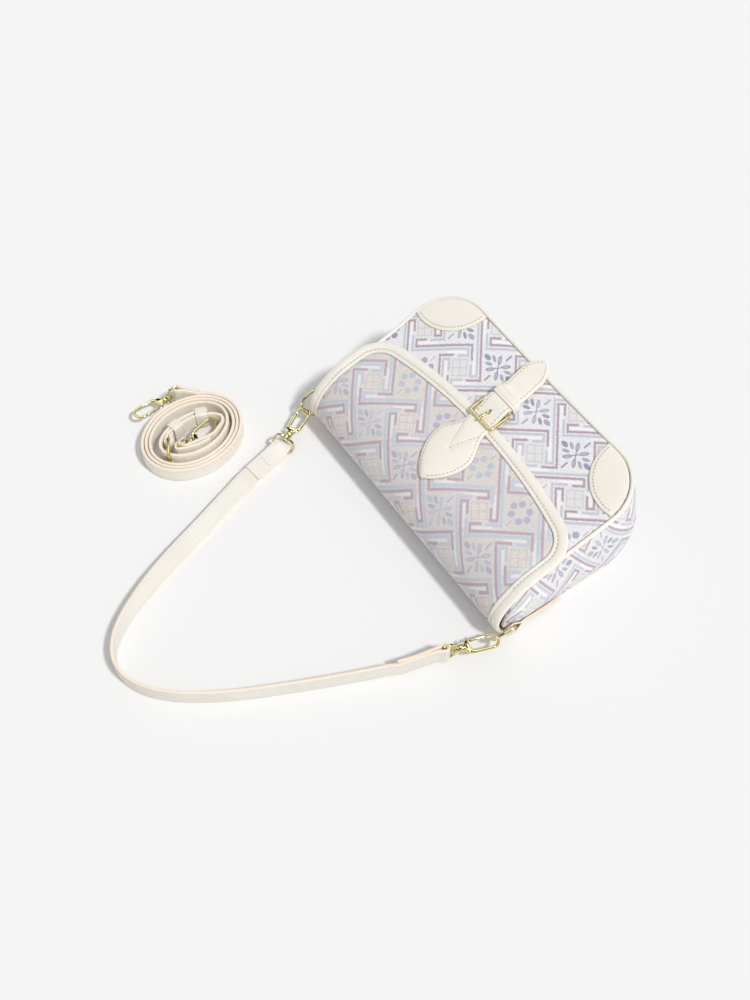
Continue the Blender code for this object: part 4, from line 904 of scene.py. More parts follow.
def wire(path, radius, closed=True, sides=16):
    """A round bar along a path, with frames carried along it."""
    path = [Vector(point) for point in path]
    around = path[-1:] + path + path[:1] if closed else path[:1] + path + path[-1:]
    tangents = [(after - before).normalized() for before, after in zip(around, around[2:])]
    normal = tangents[0].orthogonal().normalized()
    sections = []
    for place, tangent in zip(path, tangents):
        normal = (normal - tangent * normal.dot(tangent)).normalized()
        side = tangent.cross(normal)
        sections.append([place + (normal * c + side * s) * radius for c, s in circle(sides)])
    points, faces = skin(sections)
    if not closed:
        return points, faces
    turn = min(range(sides), key=lambda k: (sections[-1][k] - sections[0][0]).length)
    last = len(points) - sides
    pairs = [(i, (i + 1) % sides) for i in range(sides)]
    closing = [(last + i, last + j, (j - turn) % sides, (i - turn) % sides) for i, j in pairs]
    return points, faces[:-2] + closing


def strap_profile(width, thickness, corner=0.55, dome=0.12):
    """A strap's section with round corners and faces that swell a little: (across, off) points."""
    half, top = width / 2, thickness / 2
    rim = [(a, b) for a, b, _ in rounded((-half, -top), (half, top), 3, corner)]
    side = 0.5 * (half - corner)
    swell = [(side, top + dome * 0.8), (0, top + dome), (-side, top + dome * 0.8)]
    return rim[:4] + swell + rim[4:12] + [(-a, -b) for a, b in swell] + rim[12:]


def leather_piece(name, node, body, sections, finishes, marks=None):
    """A leather piece through sections. marks say which finish each side of a section has."""
    if marks:
        marks = marks * (len(sections) - 1) + [1, 1]
    return piece(name, skin(sections), finishes, body, (node,), "leather", run_uvs(sections), marks)


def strap_piece(name, node, body, sections, finishes, profile):
    """A strap through sections of its profile, with the second finish on its edges and ends."""
    limit = max(a for a, _ in profile) - 0.35
    middles = [(here[0] + following[0]) / 2 for here, following in zip(profile, profile[1:] + profile[:1])]
    marks = [int(abs(middle) > limit) for middle in middles]
    return leather_piece(name, node, body, sections, finishes, marks)


def leather_loop(name, finish, body, node, outline, profile, place):
    """A leather loop with painted rims, whose section stands on an outline of (x, y, outward angle)."""
    sections = []
    for x, y, angle in outline:
        c, s = math.cos(angle), math.sin(angle)
        sections.append([place(along, x + c * off, y + s * off) for along, off in profile])
    count = len(profile)
    marks = [int(i in (0, count - 2)) for i in range(count)] * len(sections)
    piece(name, skin(sections, ring=True), [finish, EDGE], body, (node,), "leather", None, marks)


def cut(obj, shape):
    """Cuts a closed block out of a piece's mesh."""
    cutter = placed("cutter", closed_mesh("cutter", *shape))
    hole = obj.modifiers.new("cut", "BOOLEAN")
    hole.operation = "DIFFERENCE"
    hole.solver = "EXACT"
    hole.object = cutter
    made = bpy.data.meshes.new_from_object(obj.evaluated_get(bpy.context.evaluated_depsgraph_get()))
    obj.modifiers.clear()
    obj.data = made
    bpy.data.objects.remove(cutter, do_unlink=True)


def bend(obj, first, second, hinge):
    """Bakes a piece's transform into its mesh and works out the two ends of a bend about the hinge, but uses
    neither them nor the two bodies.
    """
    start, end = (tuple(on_flap(0, hinge + way, 0) * MM) for way in (BEND_REACH, -BEND_REACH))
    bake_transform(obj)
    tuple(start)
    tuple(end)


def nearest(outline, places):
    """The distance from each place to a closed outline."""
    ends = np.array(outline + outline[:1])
    start, run = ends[:-1], ends[1:] - ends[:-1]
    spots = np.asarray(places)[:, None, :]
    share = ((spots - start) * run).sum(2) / np.maximum((run * run).sum(1), 1e-9)
    share = np.clip(share, 0, 1)[:, :, None]
    return np.sqrt(((spots - start - run * share) ** 2).sum(2)).min(1)


def inside(outline, places):
    """Whether each place lies inside a closed outline."""
    found = np.zeros(len(places), dtype=bool)
    xs, ys = np.asarray(places).T
    for (ax, ay), (bx, by) in zip(outline, outline[1:] + outline[:1]):
        if ay != by:
            crosses = (ay > ys) != (by > ys)
            found ^= crosses & (xs < (bx - ax) * (ys - ay) / (by - ay) + ax)
    return found


def cloth(name, outline, place, low, top, finish, body, nodes=(), slot="brocade", step=2.6, under=None):
    """A closed sheet over an outline of the cloth's own plane. low is its underside's height, and top gives
    its outer height from the distance to the edge and the place."""
    rim = dense(outline, step)
    xs, ys = (np.arange(min(run), max(run), step) for run in zip(*rim))
    grid = np.array([(x + (step / 2 if row % 2 else 0), y) for row, y in enumerate(ys) for x in xs])
    grid = grid[inside(rim, grid)]
    grid = grid[nearest(rim, grid) > step * 0.45]
    flat = [Vector(p) for p in rim] + [Vector(p) for p in grid]
    edges = [(i, (i + 1) % len(rim)) for i in range(len(rim))]
    spots, _, triangles, _, _, _ = delaunay_2d_cdt(flat, edges, [], 1, 1e-5)
    away = nearest(rim, [tuple(spot) for spot in spots])
    points = [place(spot.x, spot.y, top(d, spot.x, spot.y)) for spot, d in zip(spots, away)]
    points += [place(spot.x, spot.y, low) for spot in spots]
    shift, count = len(spots), len(triangles)
    faces = [tuple(face) for face in triangles]
    sides = dict.fromkeys(pair for face in faces for pair in zip(face, face[1:] + face[:1]))
    faces += [tuple(i + shift for i in reversed(face)) for face in triangles]
    for here, following in sides:
        if (following, here) not in sides:
            faces.append((following, here, here + shift, following + shift))
    uvs = [(CLOTH_START_X - spot.x, spot.y) for spot in spots] * 2
    marks = [0] * count + [1] * count + [0] * (len(faces) - 2 * count)
    finishes = [finish, under or finish]
    return piece(name, (points, faces), finishes, body, nodes, slot, uvs, marks, angle=50.0)


def declare(outline):
    """Works out the flat size and area of a sheet cut to an outline in millimetres, and keeps neither."""
    xs, ys = zip(*outline)
    pairs = zip(outline, outline[1:] + outline[:1])
    area = abs(sum(a[0] * b[1] - b[0] * a[1] for a, b in pairs)) / 2
    size = ((max(xs) - min(xs)) * MM, (max(ys) - min(ys)) * MM)


def ripple(x, y, scale, seed):
    return noise.noise(Vector((x / scale, y / scale, seed)))


STITCHES = {}
PALE_STITCHES = {}

# One stitch: places along it and its radius there, as shares
STITCH_SECTIONS = ((-1.0, 0.25), (-0.82, 0.8), (-0.3, 1.0), (0.3, 1.0), (0.82, 0.8), (1.0, 0.25))


def stitch_line(body, path, normals, pitch=STITCH_PITCH, kept=STITCHES):
    """Adds thread stitches along a path on a surface, whose normal is one for all or one for each point."""
    if isinstance(normals, Vector):
        normals = [normals] * len(path)
    runs = lengths(path)
    count = max(1, int(runs[-1] / pitch))
    pitch = runs[-1] / count
    half = pitch * STITCH_SHARE / 2
    k = 0
    for i in range(count):
        middle = (i + 0.5) * pitch
        while k < len(runs) - 2 and runs[k + 1] < middle:
            k += 1
        part = (middle - runs[k]) / max(1e-6, runs[k + 1] - runs[k])
        place = path[k].lerp(path[k + 1], part) + normals[k] * STITCH_LIFT
        tangent = (path[k + 1] - path[k]).normalized()
        normal = (normals[k] - tangent * normals[k].dot(tangent)).normalized()
        side = tangent.cross(normal)
        sections = []
        for t, share in STITCH_SECTIONS:
            centre = place + tangent * (half * t) - normal * (STITCH_RADIUS * 0.6 * abs(t) ** 3)
            sections.append(ellipse(centre, side, normal, STITCH_RADIUS * share, STITCH_RADIUS * share, 7))
        kept.setdefault(body, []).append(skin(sections))


# ---- The bag's body


def back_panel():
    """The back and the bend over the mouth, in one cloth."""
    line = [(-x, FOLD_END_S + BACK_FLAT_Y - y) for x, y in u_path(PANEL_INSET, BACK_FLAT_Y - 4)]
    half, top_half = WIDTH / 2 - PANEL_INSET, FLAP_HALF_WIDTH - BINDING_WIDTH - CLOTH_GAP
    right = [(half, s) for s in spread(FOLD_END_S, TOP_HINGE_S + 4, 10)]
    right += [(top_half, TOP_HINGE_S + 1), (top_half, SEAM_S)]
    outline = line + right + mirrored(right)

    def height(away, x, s):
        rest = FLAP_OUT + (0.0 if s > FOLD_END_S - 12 else 0.12 * ripple(x, s, 14, 3.0))
        return rest - 0.5 * (1 - ease(away / 3.5)) * (s < FOLD_END_S - 4)

    nodes = ("back_panel", "flap_top")
    low = FLAP_OUT - SKIN
    made = cloth("back_cloth", outline, on_flap, low, height, FLAP_CLOTH_FINISH, None, nodes, under=LINING)
    bend(made, "bag", "fold", TOP_HINGE_S)
    declare(outline)


def front_panel():
    outline = [(x, up_front(y)) for x, y in u_path(PANEL_INSET, FRONT_TOP_Y)]

    def height(away, x, s):
        return SKIN / 2 + 0.22 * ripple(x, s, 24, 1.0) - 0.5 * (1 - ease(away / 4.0))

    low, nodes = -SKIN / 2, ("front_panel",)
    made = cloth("front_cloth", outline, front_point, low, height, FRONT_CLOTH_FINISH, "bag", nodes)
    hole = arc((0, SNAP_S), SNAP_HOLE_RADIUS, 0, 360, 28)[:-1]
    cut(made, skin([[belt_point(x, s, w) for x, s in hole] for w in (-SKIN, SKIN * 1.5)]))
    declare(outline)


def gusset():
    """The soft band round the sides and base, slack at its corners, its top ends drawn up under the flap."""
    back = u_path(PIPING_RADIUS, SIDE_TOP_BACK_Y)
    front = u_path(PIPING_RADIUS, SIDE_TOP_FRONT_Y)
    under_fold = [on_flap(0, s, FLAP_RISE - 2.2) for s in np.linspace(FOLD_END_S, FOLD_V - 40, 60)]
    heights = [place.z for place in under_fold]
    limits = [place.y for place in under_fold]
    rises = spread(0, 1, 8)[1:]
    columns = [(0, rise) for rise in reversed(rises)] + [(i, 0.0) for i in range(len(back))]
    columns += [(len(back) - 1, rise) for rise in rises]
    runs = lengths(back)
    normals = u_normals(back)
    outer, inner, uvs = [], [], []
    shares = spread(0, 1, 26)
    for share in shares:
        swell = math.sin(math.pi * share)
        down = share * 60
        for i, raised in columns:
            normal, run = normals[i], runs[i]
            start = Vector((*back[i], 2 * PIPING_RADIUS + GAP))
            end = front_point(front[i][0], up_front(front[i][1]), -PIPING_RADIUS - GAP)
            bulge = BASE_BULGE + (SIDE_BULGE - BASE_BULGE) * abs(normal.x)
            corner = min(1.0, 2.2 * abs(normal.x * normal.y))
            slack = 0.55 * corner * ripple(run, down, 9, 5.0) + 0.16 * ripple(run, down, 20, 8.0)
            drawn_up = 1 - ease((runs[-1] / 2 - abs(run - runs[-1] / 2)) / 45)
            slack += 0.7 * drawn_up * ripple(run + share * 25, down, 6, 11.0)
            place = start.lerp(end, share)
            top = max(0.0, float(np.interp(place.z, heights, limits)) - place.y) * raised
            place += normal * (bulge * swell * (1 - 0.45 * ease(raised))) + Vector((0, top, 0))
            outer.append(place + normal * (SKIN / 2 + slack * swell))
            inner.append(place - normal * (SKIN / 2))
            uvs.append((run - top if i == 0 else run + top, (end - start).length * share))
    count = len(columns)
    grid = [[row * count + column for column in range(count)] for row in range(len(shares))]
    shift = len(outer)
    faces = []
    for low, high in zip(grid, grid[1:]):
        for c in range(count - 1):
            quad = (low[c], low[c + 1], high[c + 1], high[c])
            faces += [quad, tuple(i + shift for i in reversed(quad))]
    rim = grid[0] + [row[-1] for row in grid[1:]] + grid[-1][-2::-1] + [row[0] for row in grid[-2:0:-1]]
    marks = [0, 1] * (len(faces) // 2) + [0] * len(rim)
    faces += [(a, a + shift, b + shift, b) for a, b in zip(rim, rim[1:] + rim[:1])]
    finishes = [GUSSET_CLOTH_FINISH, LINING]
    shape = outer + inner, faces
    made = piece("gusset_cloth", shape, finishes, "bag", ("gusset",), "brocade", uvs + uvs, marks, angle=60)
    declare([uvs[i] for i in rim])


def pipings():
    back = [Vector((x, y, PIPING_RADIUS)) for x, y in u_path(PIPING_RADIUS, BACK_FLAT_Y)]
    front = [front_point(x, up_front(y), 0) for x, y in u_path(PIPING_RADIUS, FRONT_TOP_Y)]
    for word, path in (("back", back), ("front", front)):
        shape = wire(path, PIPING_RADIUS, closed=False)
        piece(word + "_piping_cover", shape, [LEATHER], "bag", ("piping_" + word,), "leather")


def patches():
    """A leather patch on each lower corner of the front, stitched along its round inner edge."""
    x = WIDTH / 2 - PANEL_INSET
    low = BOTTOM_Y + PANEL_INSET
    radius = CORNER_RADIUS - PANEL_INSET
    outer = [(px, up_front(py)) for px, py in arc((x - radius, low + radius), radius, -90, 0, 24)]
    start = math.degrees(math.acos((x - PATCH_CENTRE[0]) / PATCH_RADIUS))
    end = 180 + math.degrees(math.asin((PATCH_CENTRE[1] - up_front(low)) / PATCH_RADIUS))
    inner = arc(PATCH_CENTRE, PATCH_RADIUS, start, end, 30)
    seam = arc(PATCH_CENTRE, PATCH_RADIUS - 2.5, start + 4, end - 3, 40)
    under = SKIN / 2 + GAP
    top = under + PATCH_THICKNESS

    def height(away, x, s):
        return top - 0.35 * (1 - ease(away / 0.9)) + 0.25 * ease(away / 9)

    for word, side in SIDES:
        outline = [(side * px, v) for px, v in outer + inner]
        node = "patch_" + word
        laid = node + "_leather", outline, front_point, under, height
        patch = cloth(*laid, LEATHER, "bag", (node,), "leather", 1.8, EDGE)
        for face in patch.data.polygons:
            face.material_index = int(-0.8 < face.normal.dot(FRONT_FACING) < 0.6)
        stitch_line("bag", [front_point(side * px, v, top + 0.15) for px, v in seam], FRONT_FACING, 2.6)


def lining():
    """The satin inside of the bag, open at the mouth."""

    def layer(depth):
        inset = PANEL_INSET + GAP + depth
        back, front = (u_path(inset, y - 2, 12, 12, 24) for y in (BACK_FLAT_Y, FRONT_TOP_Y))
        low = [Vector((x, y, SKIN + GAP + depth)) for x, y in back]
        return low + [front_point(x, up_front(y), -SKIN / 2 - GAP - depth) for x, y in front]

    points = layer(0) + layer(LINING_WALL)
    count = len(points) // 4
    faces = [tuple(range(count)), tuple(range(2 * count - 1, count - 1, -1))]
    faces += [tuple(range(3 * count - 1, 2 * count - 1, -1)), tuple(range(3 * count, 4 * count))]
    for i in range(count - 1):
        faces.append((i + 1, i, i + count, i + 1 + count))
        faces.append((i + 2 * count, i + 1 + 2 * count, i + 1 + 3 * count, i + 3 * count))
    last = count - 1
    faces += [(0, last, last + 2 * count, 2 * count), (count, 3 * count, last + 3 * count, last + count)]
    faces += [(0, 2 * count, 3 * count, count), (last, last + count, last + 3 * count, last + 2 * count)]
    uvs = [(point.x, point.y) for point in points]
    piece("bag_lining", (points, faces), [LINING], "bag", ("lining",), "lining", uvs, angle=30)


# ---- The flap


def flap():
    half = FLAP_HALF_WIDTH - BINDING_WIDTH - CLOTH_GAP
    climb = [(-half, s) for s in spread(FOLD_V, SEAM_S, 20)[1:]]
    outline = flap_outline(BINDING_WIDTH + CLOTH_GAP) + climb + mirrored(climb)

    def height(away, x, s):
        soft = 0.16 * ripple(x, s, 26, 2.0) + 0.05 * ripple(x, s, 8, 6.0)
        seam = 1 - ease(away / 3.0) if s < SEAM_S - 3 else 0
        return FLAP_OUT + (0 if s > SEAM_S - 6 else soft) - 0.8 * seam

    def flat(away, x, s):
        return FLAP_RISE + FLAP_LINING

    low = FLAP_OUT - FLAP_CLOTH
    layers = (
        ("flap_cloth", low, height, FLAP_CLOTH_FINISH, ("flap_front",), "brocade", 2.6, "flap_satin"),
        ("flap_satin", FLAP_RISE, flat, LINING, ("flap_lining",), "lining", 4.0, "flap_cloth"),
    )
    for name, low, top, finish, nodes, slot, step, rests_on in layers:
        made = cloth(name, outline, on_flap, low, top, finish, None, nodes, slot, step)
        bend(made, "fold", "flap", FRONT_HINGE_S)
        declare(outline)


# The edging's section: how far in from the flap's edge, and the height off the front
BINDING_PROFILE = (
    (0.5, 2.4), (0.05, 2.9), (0.0, 3.7), (0.1, 4.5), (0.5, 5.1), (1.3, 5.42), (2.6, 5.6), (4.2, 5.62),
    (5.6, 5.5), (6.2, 5.2), (6.65, 5.0), (7.1, 5.2), (7.9, 5.52), (8.7, 5.5), (9.25, 5.25), (9.5, 4.8),
    (9.5, 3.0), (9.1, 2.4),
)
STITCH_TRIM = 6.7
STITCH_W = 5.08


def surface_normal(s):
    return (on_flap(0, s, FLAP_OUT + 1) - on_flap(0, s, FLAP_OUT)).normalized()


def bindings():
    """The leather edging of the flap: one piece round the tip, and two that go on over the fold."""

    def edge(trim):
        side = [(FLAP_HALF_WIDTH - trim, s) for s in spread(SEAM_S, FOLD_V, 24)[:-1]]
        return side + flap_outline(trim) + mirrored(side)

    sections = list(zip(*([on_flap(x, s, w) for x, s in edge(trim)] for trim, w in BINDING_PROFILE)))
    made = leather_piece("flap_edging", "flap_binding", None, sections, [LEATHER])
    bend(made, "fold", "flap", FRONT_HINGE_S)
    seam = [(x, s) for x, s in edge(STITCH_TRIM) if s < FRONT_HINGE_S - 7]
    stitch_line("flap", [on_flap(x, s, STITCH_W) for x, s in seam], [surface_normal(s) for _, s in seam])
    steps = spread(SEAM_S, FOLD_END_S - 4, 24)
    seam = [s for s in steps if s < TOP_HINGE_S - 7]
    for word, side in SIDES:
        sections = []
        for s in steps:
            drawn_in = 0.9 * ease((s - TOP_HINGE_S) / (FOLD_END_S - TOP_HINGE_S))
            row = []
            for trim, w in BINDING_PROFILE:
                x = FLAP_HALF_WIDTH - trim - drawn_in * (3.2 if trim < 5 else 1.0)
                row.append(on_flap(side * x, s, FLAP_OUT + (w - FLAP_OUT) * (1 - 0.55 * drawn_in)))
            sections.append(row)
        made = leather_piece("fold_edging_" + word, "flap_top_binding_" + word, None, sections, [LEATHER])
        bend(made, "bag", "fold", TOP_HINGE_S)
        path = [on_flap(side * (FLAP_HALF_WIDTH - STITCH_TRIM), s, STITCH_W) for s in seam]
        stitch_line("fold", path, [surface_normal(s) for s in seam])


# ---- The closure


# The pointed seam on the leaf, and the belt's underside: shares of its half width, and heights
V_SEAM = [Vector(point) for point in ((-9.0, 68.0), (0.5, 90.5), (9.0, 68.0))]
BELT_UNDER = ((1, 0.5), (0.98, 0.1), (0.5, 0.0), (-0.5, 0.0), (-0.98, 0.1), (-1, 0.5))


def belt_top(x, s):
    """The belt's outer height, puffed on the leaf and pressed in along its seams."""
    half = belt_half_width(s)
    share = min(1.0, abs(x) / max(half, 0.1))
    away = half - abs(x)
    if s > LEAF_S:
        away = min(away, (LEAF_END_S - s) * 0.9)
    on_leaf = ease((s - LEAF_NECK_S + 4) / 16)
    puff = 1.15 * on_leaf * (1 - share**2.2) + 0.22 * (1 - share**4)
    for start, end in zip(V_SEAM, V_SEAM[1:]):
        run, way = end - start, Vector((x, s)) - start
        part = min(1.0, max(0.0, way.dot(run) / run.length_squared))
        puff -= 0.5 * on_leaf * math.exp(-(((way - run * part).length / 1.5) ** 2))
    puff -= 0.22 * math.exp(-(((away - 2.3) / 0.7) ** 2)) * (0.4 + 0.6 * on_leaf)
    rounding = 0.55 * (1 - ease(away / 1.0))
    return belt_low(s) + BELT_THICKNESS + puff * ease(away / 3.0) - rounding


def on_belt(x, s):
    return belt_point(x, s, belt_top(x, s))


def belt():
    """The leaf and the belt below it, with the small hole for the tongue."""
    stations, s = [], LEAF_END_S
    while s > BELT_END_S:
        stations.append(s)
        near_end = s > LEAF_END_S - 3 or s < BELT_END_S + 4
        s -= 0.35 if near_end else 0.9
    stations.append(BELT_END_S)
    columns = [math.sin(math.pi / 2 * share) for share in spread(-1, 1, 26)]
    sections = []
    for s in stations:
        half, low = belt_half_width(s), belt_low(s)
        row = [belt_point(half * c, s, belt_top(half * c * 0.999, s)) for c in columns]
        sections.append(row + [belt_point(half * c, s, low + w) for c, w in BELT_UNDER])
    count = len(sections[0])
    marks = [int(i < 2 or 23 < i < 29 or i > count - 4) for i in range(count)]
    made = leather_piece("closure_leather", "closure_belt", "flap", sections, [LEATHER, EDGE], marks)
    cut(made, slot_block(*HOLE_S, HOLE_HALF_WIDTH, BELT_ON_FLAP - 2, BELT_ON_BAR + 3 * BELT_THICKNESS))


def belt_seams():
    """Stitches along both edges of the belt, left out under the keeper and the frame, and on the leaf."""
    rim = np.arange(BELT_END_S + 2.4, LEAF_END_S - 3.4, 0.8)
    under_keeper = (KEEPER_LOW_S - 1, KEEPER_HIGH_S + 1)
    under_frame = (FRAME_NOSE_S - 2.5, FRAME_NOSE_S + 2.6)
    ends = (BELT_END_S, *under_keeper, *under_frame, LEAF_END_S)
    for side in (-1, 1):
        for low_s, high_s in zip(ends[::2], ends[1::2]):
            path = []
            for s in rim[(low_s < rim) & (rim < high_s)]:
                inset = 2.3 if 8 < s < LEAF_END_S - 8 else 2.6
                path.append(on_belt(side * max(0.0, belt_half_width(s) - inset), s))
            stitch_line("flap", path, FRONT_FACING, BELT_STITCH_PITCH)
    for start, end in zip(V_SEAM, V_SEAM[1:]):
        path = [on_belt(*start.lerp(end, share)) for share in spread(0, 1, 23)]
        stitch_line("flap", path, FRONT_FACING, BELT_STITCH_PITCH)


def slot_block(low_s, high_s, half, low_w, high_w):
    outline = [(-half, low_s), (half, low_s), (half, high_s), (-half, high_s)]
    return skin([[belt_point(x, s, w) for x, s in outline] for w in (low_w, high_w)])


def chape():
    """The strip that goes round the frame's bar, with its slot for the tongue."""
    radius = FRAME_WIRE + GAP + CHAPE_THICKNESS / 2
    low = CHAPE_W + CHAPE_THICKNESS / 2
    second = low + CHAPE_THICKNESS + GAP
    path = [(CHAPE_END_S, low), (FRAME_HINGE_S - 3, low)]
    path += arc((FRAME_HINGE_S, HINGE_BAR_W), radius, -90, 110, 16)
    path += [(KEEPER_HIGH_S + 1.2, second + 0.4), (KEEPER_HIGH_S - 0.5, second), (KEEPER_LOW_S + 0.8, second)]
    profile = strap_profile(2 * CHAPE_HALF_WIDTH, CHAPE_THICKNESS, 0.35, 0.04)
    sections = []
    for (s, w), run in zip(path, directions([Vector(point) for point in path])):
        sections.append([belt_point(a, s - run.y * b, w + run.x * b) for a, b in profile])
    made = strap_piece("chape_leather", "buckle_chape", "flap", sections, [LEATHER, EDGE], profile)
    cut(made, slot_block(FRAME_HINGE_S - 4.0, SLOT_END_S, SLOT_HALF_WIDTH, CHAPE_W - 1, BELT_ON_BAR + 2))


def keeper():
    """The loop round the belt, creased along both edges."""
    half = BELT_HALF_WIDTH + GAP
    outline = rounded((-half, CHAPE_W - GAP), (half, BELT_ON_CHAPE + BELT_THICKNESS + 0.55), 4, 0.8, 0.4)
    middle = (KEEPER_LOW_S + KEEPER_HIGH_S) / 2
    low, wall = (KEEPER_LOW_S - KEEPER_HIGH_S) / 2, KEEPER_WALL
    profile = [(low, 0.0), (low, wall * 0.7), (low + 0.3, wall), (low + 1.0, wall)]
    profile += [(low + 1.35, wall - 0.2), (low + 1.7, wall)]
    profile += [(0, wall + 0.06)] + mirrored(profile)

    def place(along, x, w):
        return belt_point(x, middle + along, w)

    leather_loop("keeper_leather", LEATHER, "flap", "keeper_loop", outline, profile, place)


def buckle():
    """The wire frame, and the tongue that goes under the belt and up through its small hole."""
    half = BELT_HALF_WIDTH + GAP + 0.1 + FRAME_WIRE
    rise = (NOSE_BAR_W - HINGE_BAR_W) / (FRAME_NOSE_S - FRAME_HINGE_S)
    outline = rounded((-half, FRAME_HINGE_S), (half, FRAME_NOSE_S), 8, FRAME_CORNER)
    path = [belt_point(x, s, HINGE_BAR_W + rise * (s - FRAME_HINGE_S)) for x, s, _ in outline]
    fitting("buckle_frame", wire(path, FRAME_WIRE), "flap")
    radius = FRAME_WIRE + 0.25 + TONGUE_RADIUS
    rest_w = NOSE_BAR_W + FRAME_WIRE + GAP + TONGUE_RADIUS
    path = arc((FRAME_HINGE_S, HINGE_BAR_W), radius, 180, 360, 14)
    path += [(FRAME_HINGE_S + 4.6, HINGE_BAR_W + 0.5), (HOLE_S[0] - 0.6, HINGE_BAR_W + 0.6)]
    path += [((HOLE_S[0] + HOLE_S[1]) / 2, BELT_ON_FLAP + 2.4), (HOLE_S[1] + 0.6, rest_w - 0.7)]
    path += [(HOLE_S[1] + 3.0, rest_w), (FRAME_NOSE_S + 1.4, rest_w)]
    line = spline_points([belt_point(0, s, w) for s, w in path], 0.6)
    fitting("buckle_tongue", wire(line, TONGUE_RADIUS, closed=False), "tongue")


# ---- Side tabs, rings and trigger hooks


def side_tab(word, side):
    """The leather tab that carries a ring: up the side, round the ring's bar and back."""
    loop = RING_WIRE + GAP + TAB_THICKNESS / 2
    layer = TAB_DRAWN / 2 + 0.02
    ahead = [(y, layer) for y in spread(TAB_START_Y, RING_BAR_Y - 5.5, 14)]
    ahead.append((RING_BAR_Y - 2.6, loop * 0.72))
    path = ahead + arc((RING_BAR_Y, 0), loop, 90, -90, 16) + [(y, -n) for y, n in reversed(ahead)]
    profile = strap_profile(TAB_WIDTH, TAB_DRAWN, 0.18, 0.02)
    out, along, middle = side_axes(side)
    sections = []
    for (y, n), run in zip(path, directions([Vector(point) for point in path])):
        normal = (out * run.x - ACROSS * run.y).normalized()
        sunk = TAB_SINK * (1 - ease((y - RING_BAR_Y + 12) / 8))
        centre = middle + ACROSS * y + out * (n - sunk)
        narrow = 1.0 - 0.12 * (1 - ease((y - TAB_START_Y) / 4))
        sections.append([centre + along * (a * narrow) + normal * b for a, b in profile])
    node = "side_tab_" + word
    strap_piece(node + "_leather", node, "bag", sections, [LEATHER, TAB_EDGE], profile)
    level = layer + TAB_DRAWN / 2 - TAB_SINK
    for t in (2 - TAB_WIDTH / 2, TAB_WIDTH / 2 - 2):
        start = middle + out * level + along * t
        seam = [start + ACROSS * y for y in spread(TAB_START_Y + 2, RING_BAR_Y - 4, 20)]
        stitch_line("bag", seam, out, 2.7)


def side_ring(word, side):
    _, along, middle = side_axes(side)
    half, corner = RING_HALF_WIDTH, RING_CORNER
    outline = arc((half - corner, RING_BAR_Y + corner), corner, -90, -10, 5)
    outline += [ring_bow(math.pi * i / 40) for i in range(1, 40)]
    outline += arc((corner - half, RING_BAR_Y + corner), corner, 190, 270, 5)
    path = [middle + ACROSS * y + along * t for t, y in outline]
    fitting("ring_" + word, wire(path, RING_WIRE * DRAWN), "side_ring_" + word)


def bored(inner, stations, sides=20):
    """A turned sleeve round a straight bore."""
    loop = [(stations[0][0], inner), *stations, (stations[-1][0], inner)]
    return skin([[Vector((a, r * c, r * s)) for a, r in loop] for c, s in circle(sides)], ring=True)


def eye_shape():
    """The eye that a strap goes through: a bow closed by a straight bar, with a bored boss on the bow."""
    power = 2 / 3.2
    outline = [(0.6, EYE_HALF_WIDTH, 0)]
    for angle in spread(0, math.pi, 36)[2:-2]:
        c, s = math.cos(angle), math.sin(angle)
        outline.append((EYE_DEPTH * s**power, EYE_HALF_WIDTH * math.copysign(abs(c) ** power, c), 0))
    outline += [(0.6, -EYE_HALF_WIDTH, 0), (0, 0.6 - EYE_HALF_WIDTH, 0), (0, EYE_HALF_WIDTH - 0.6, 0)]
    boss = [(BOSS_START, 2.3), (BOSS_START + 0.3, 2.7), (BOSS_END - 0.3, 2.7), (BOSS_END, 2.3)]
    return merge([wire(outline, EYE_WIRE * DRAWN), bored(SHANK_RADIUS + 0.3, boss)])


def blended(stations, steps):
    """More stations, on a smooth curve through rows of numbers, whose first number goes on evenly."""
    rows = [np.array(row, dtype=float) for row in stations]
    knots = rows[:1] + rows + rows[-1:]
    found = []
    for knot in zip(knots, knots[1:], knots[2:], knots[3:]):
        between = curved(*knot, steps)
        for row, first in zip(between, spread(knot[1][0], knot[2][0], steps)):
            row[0] = first
        found += between
    return found


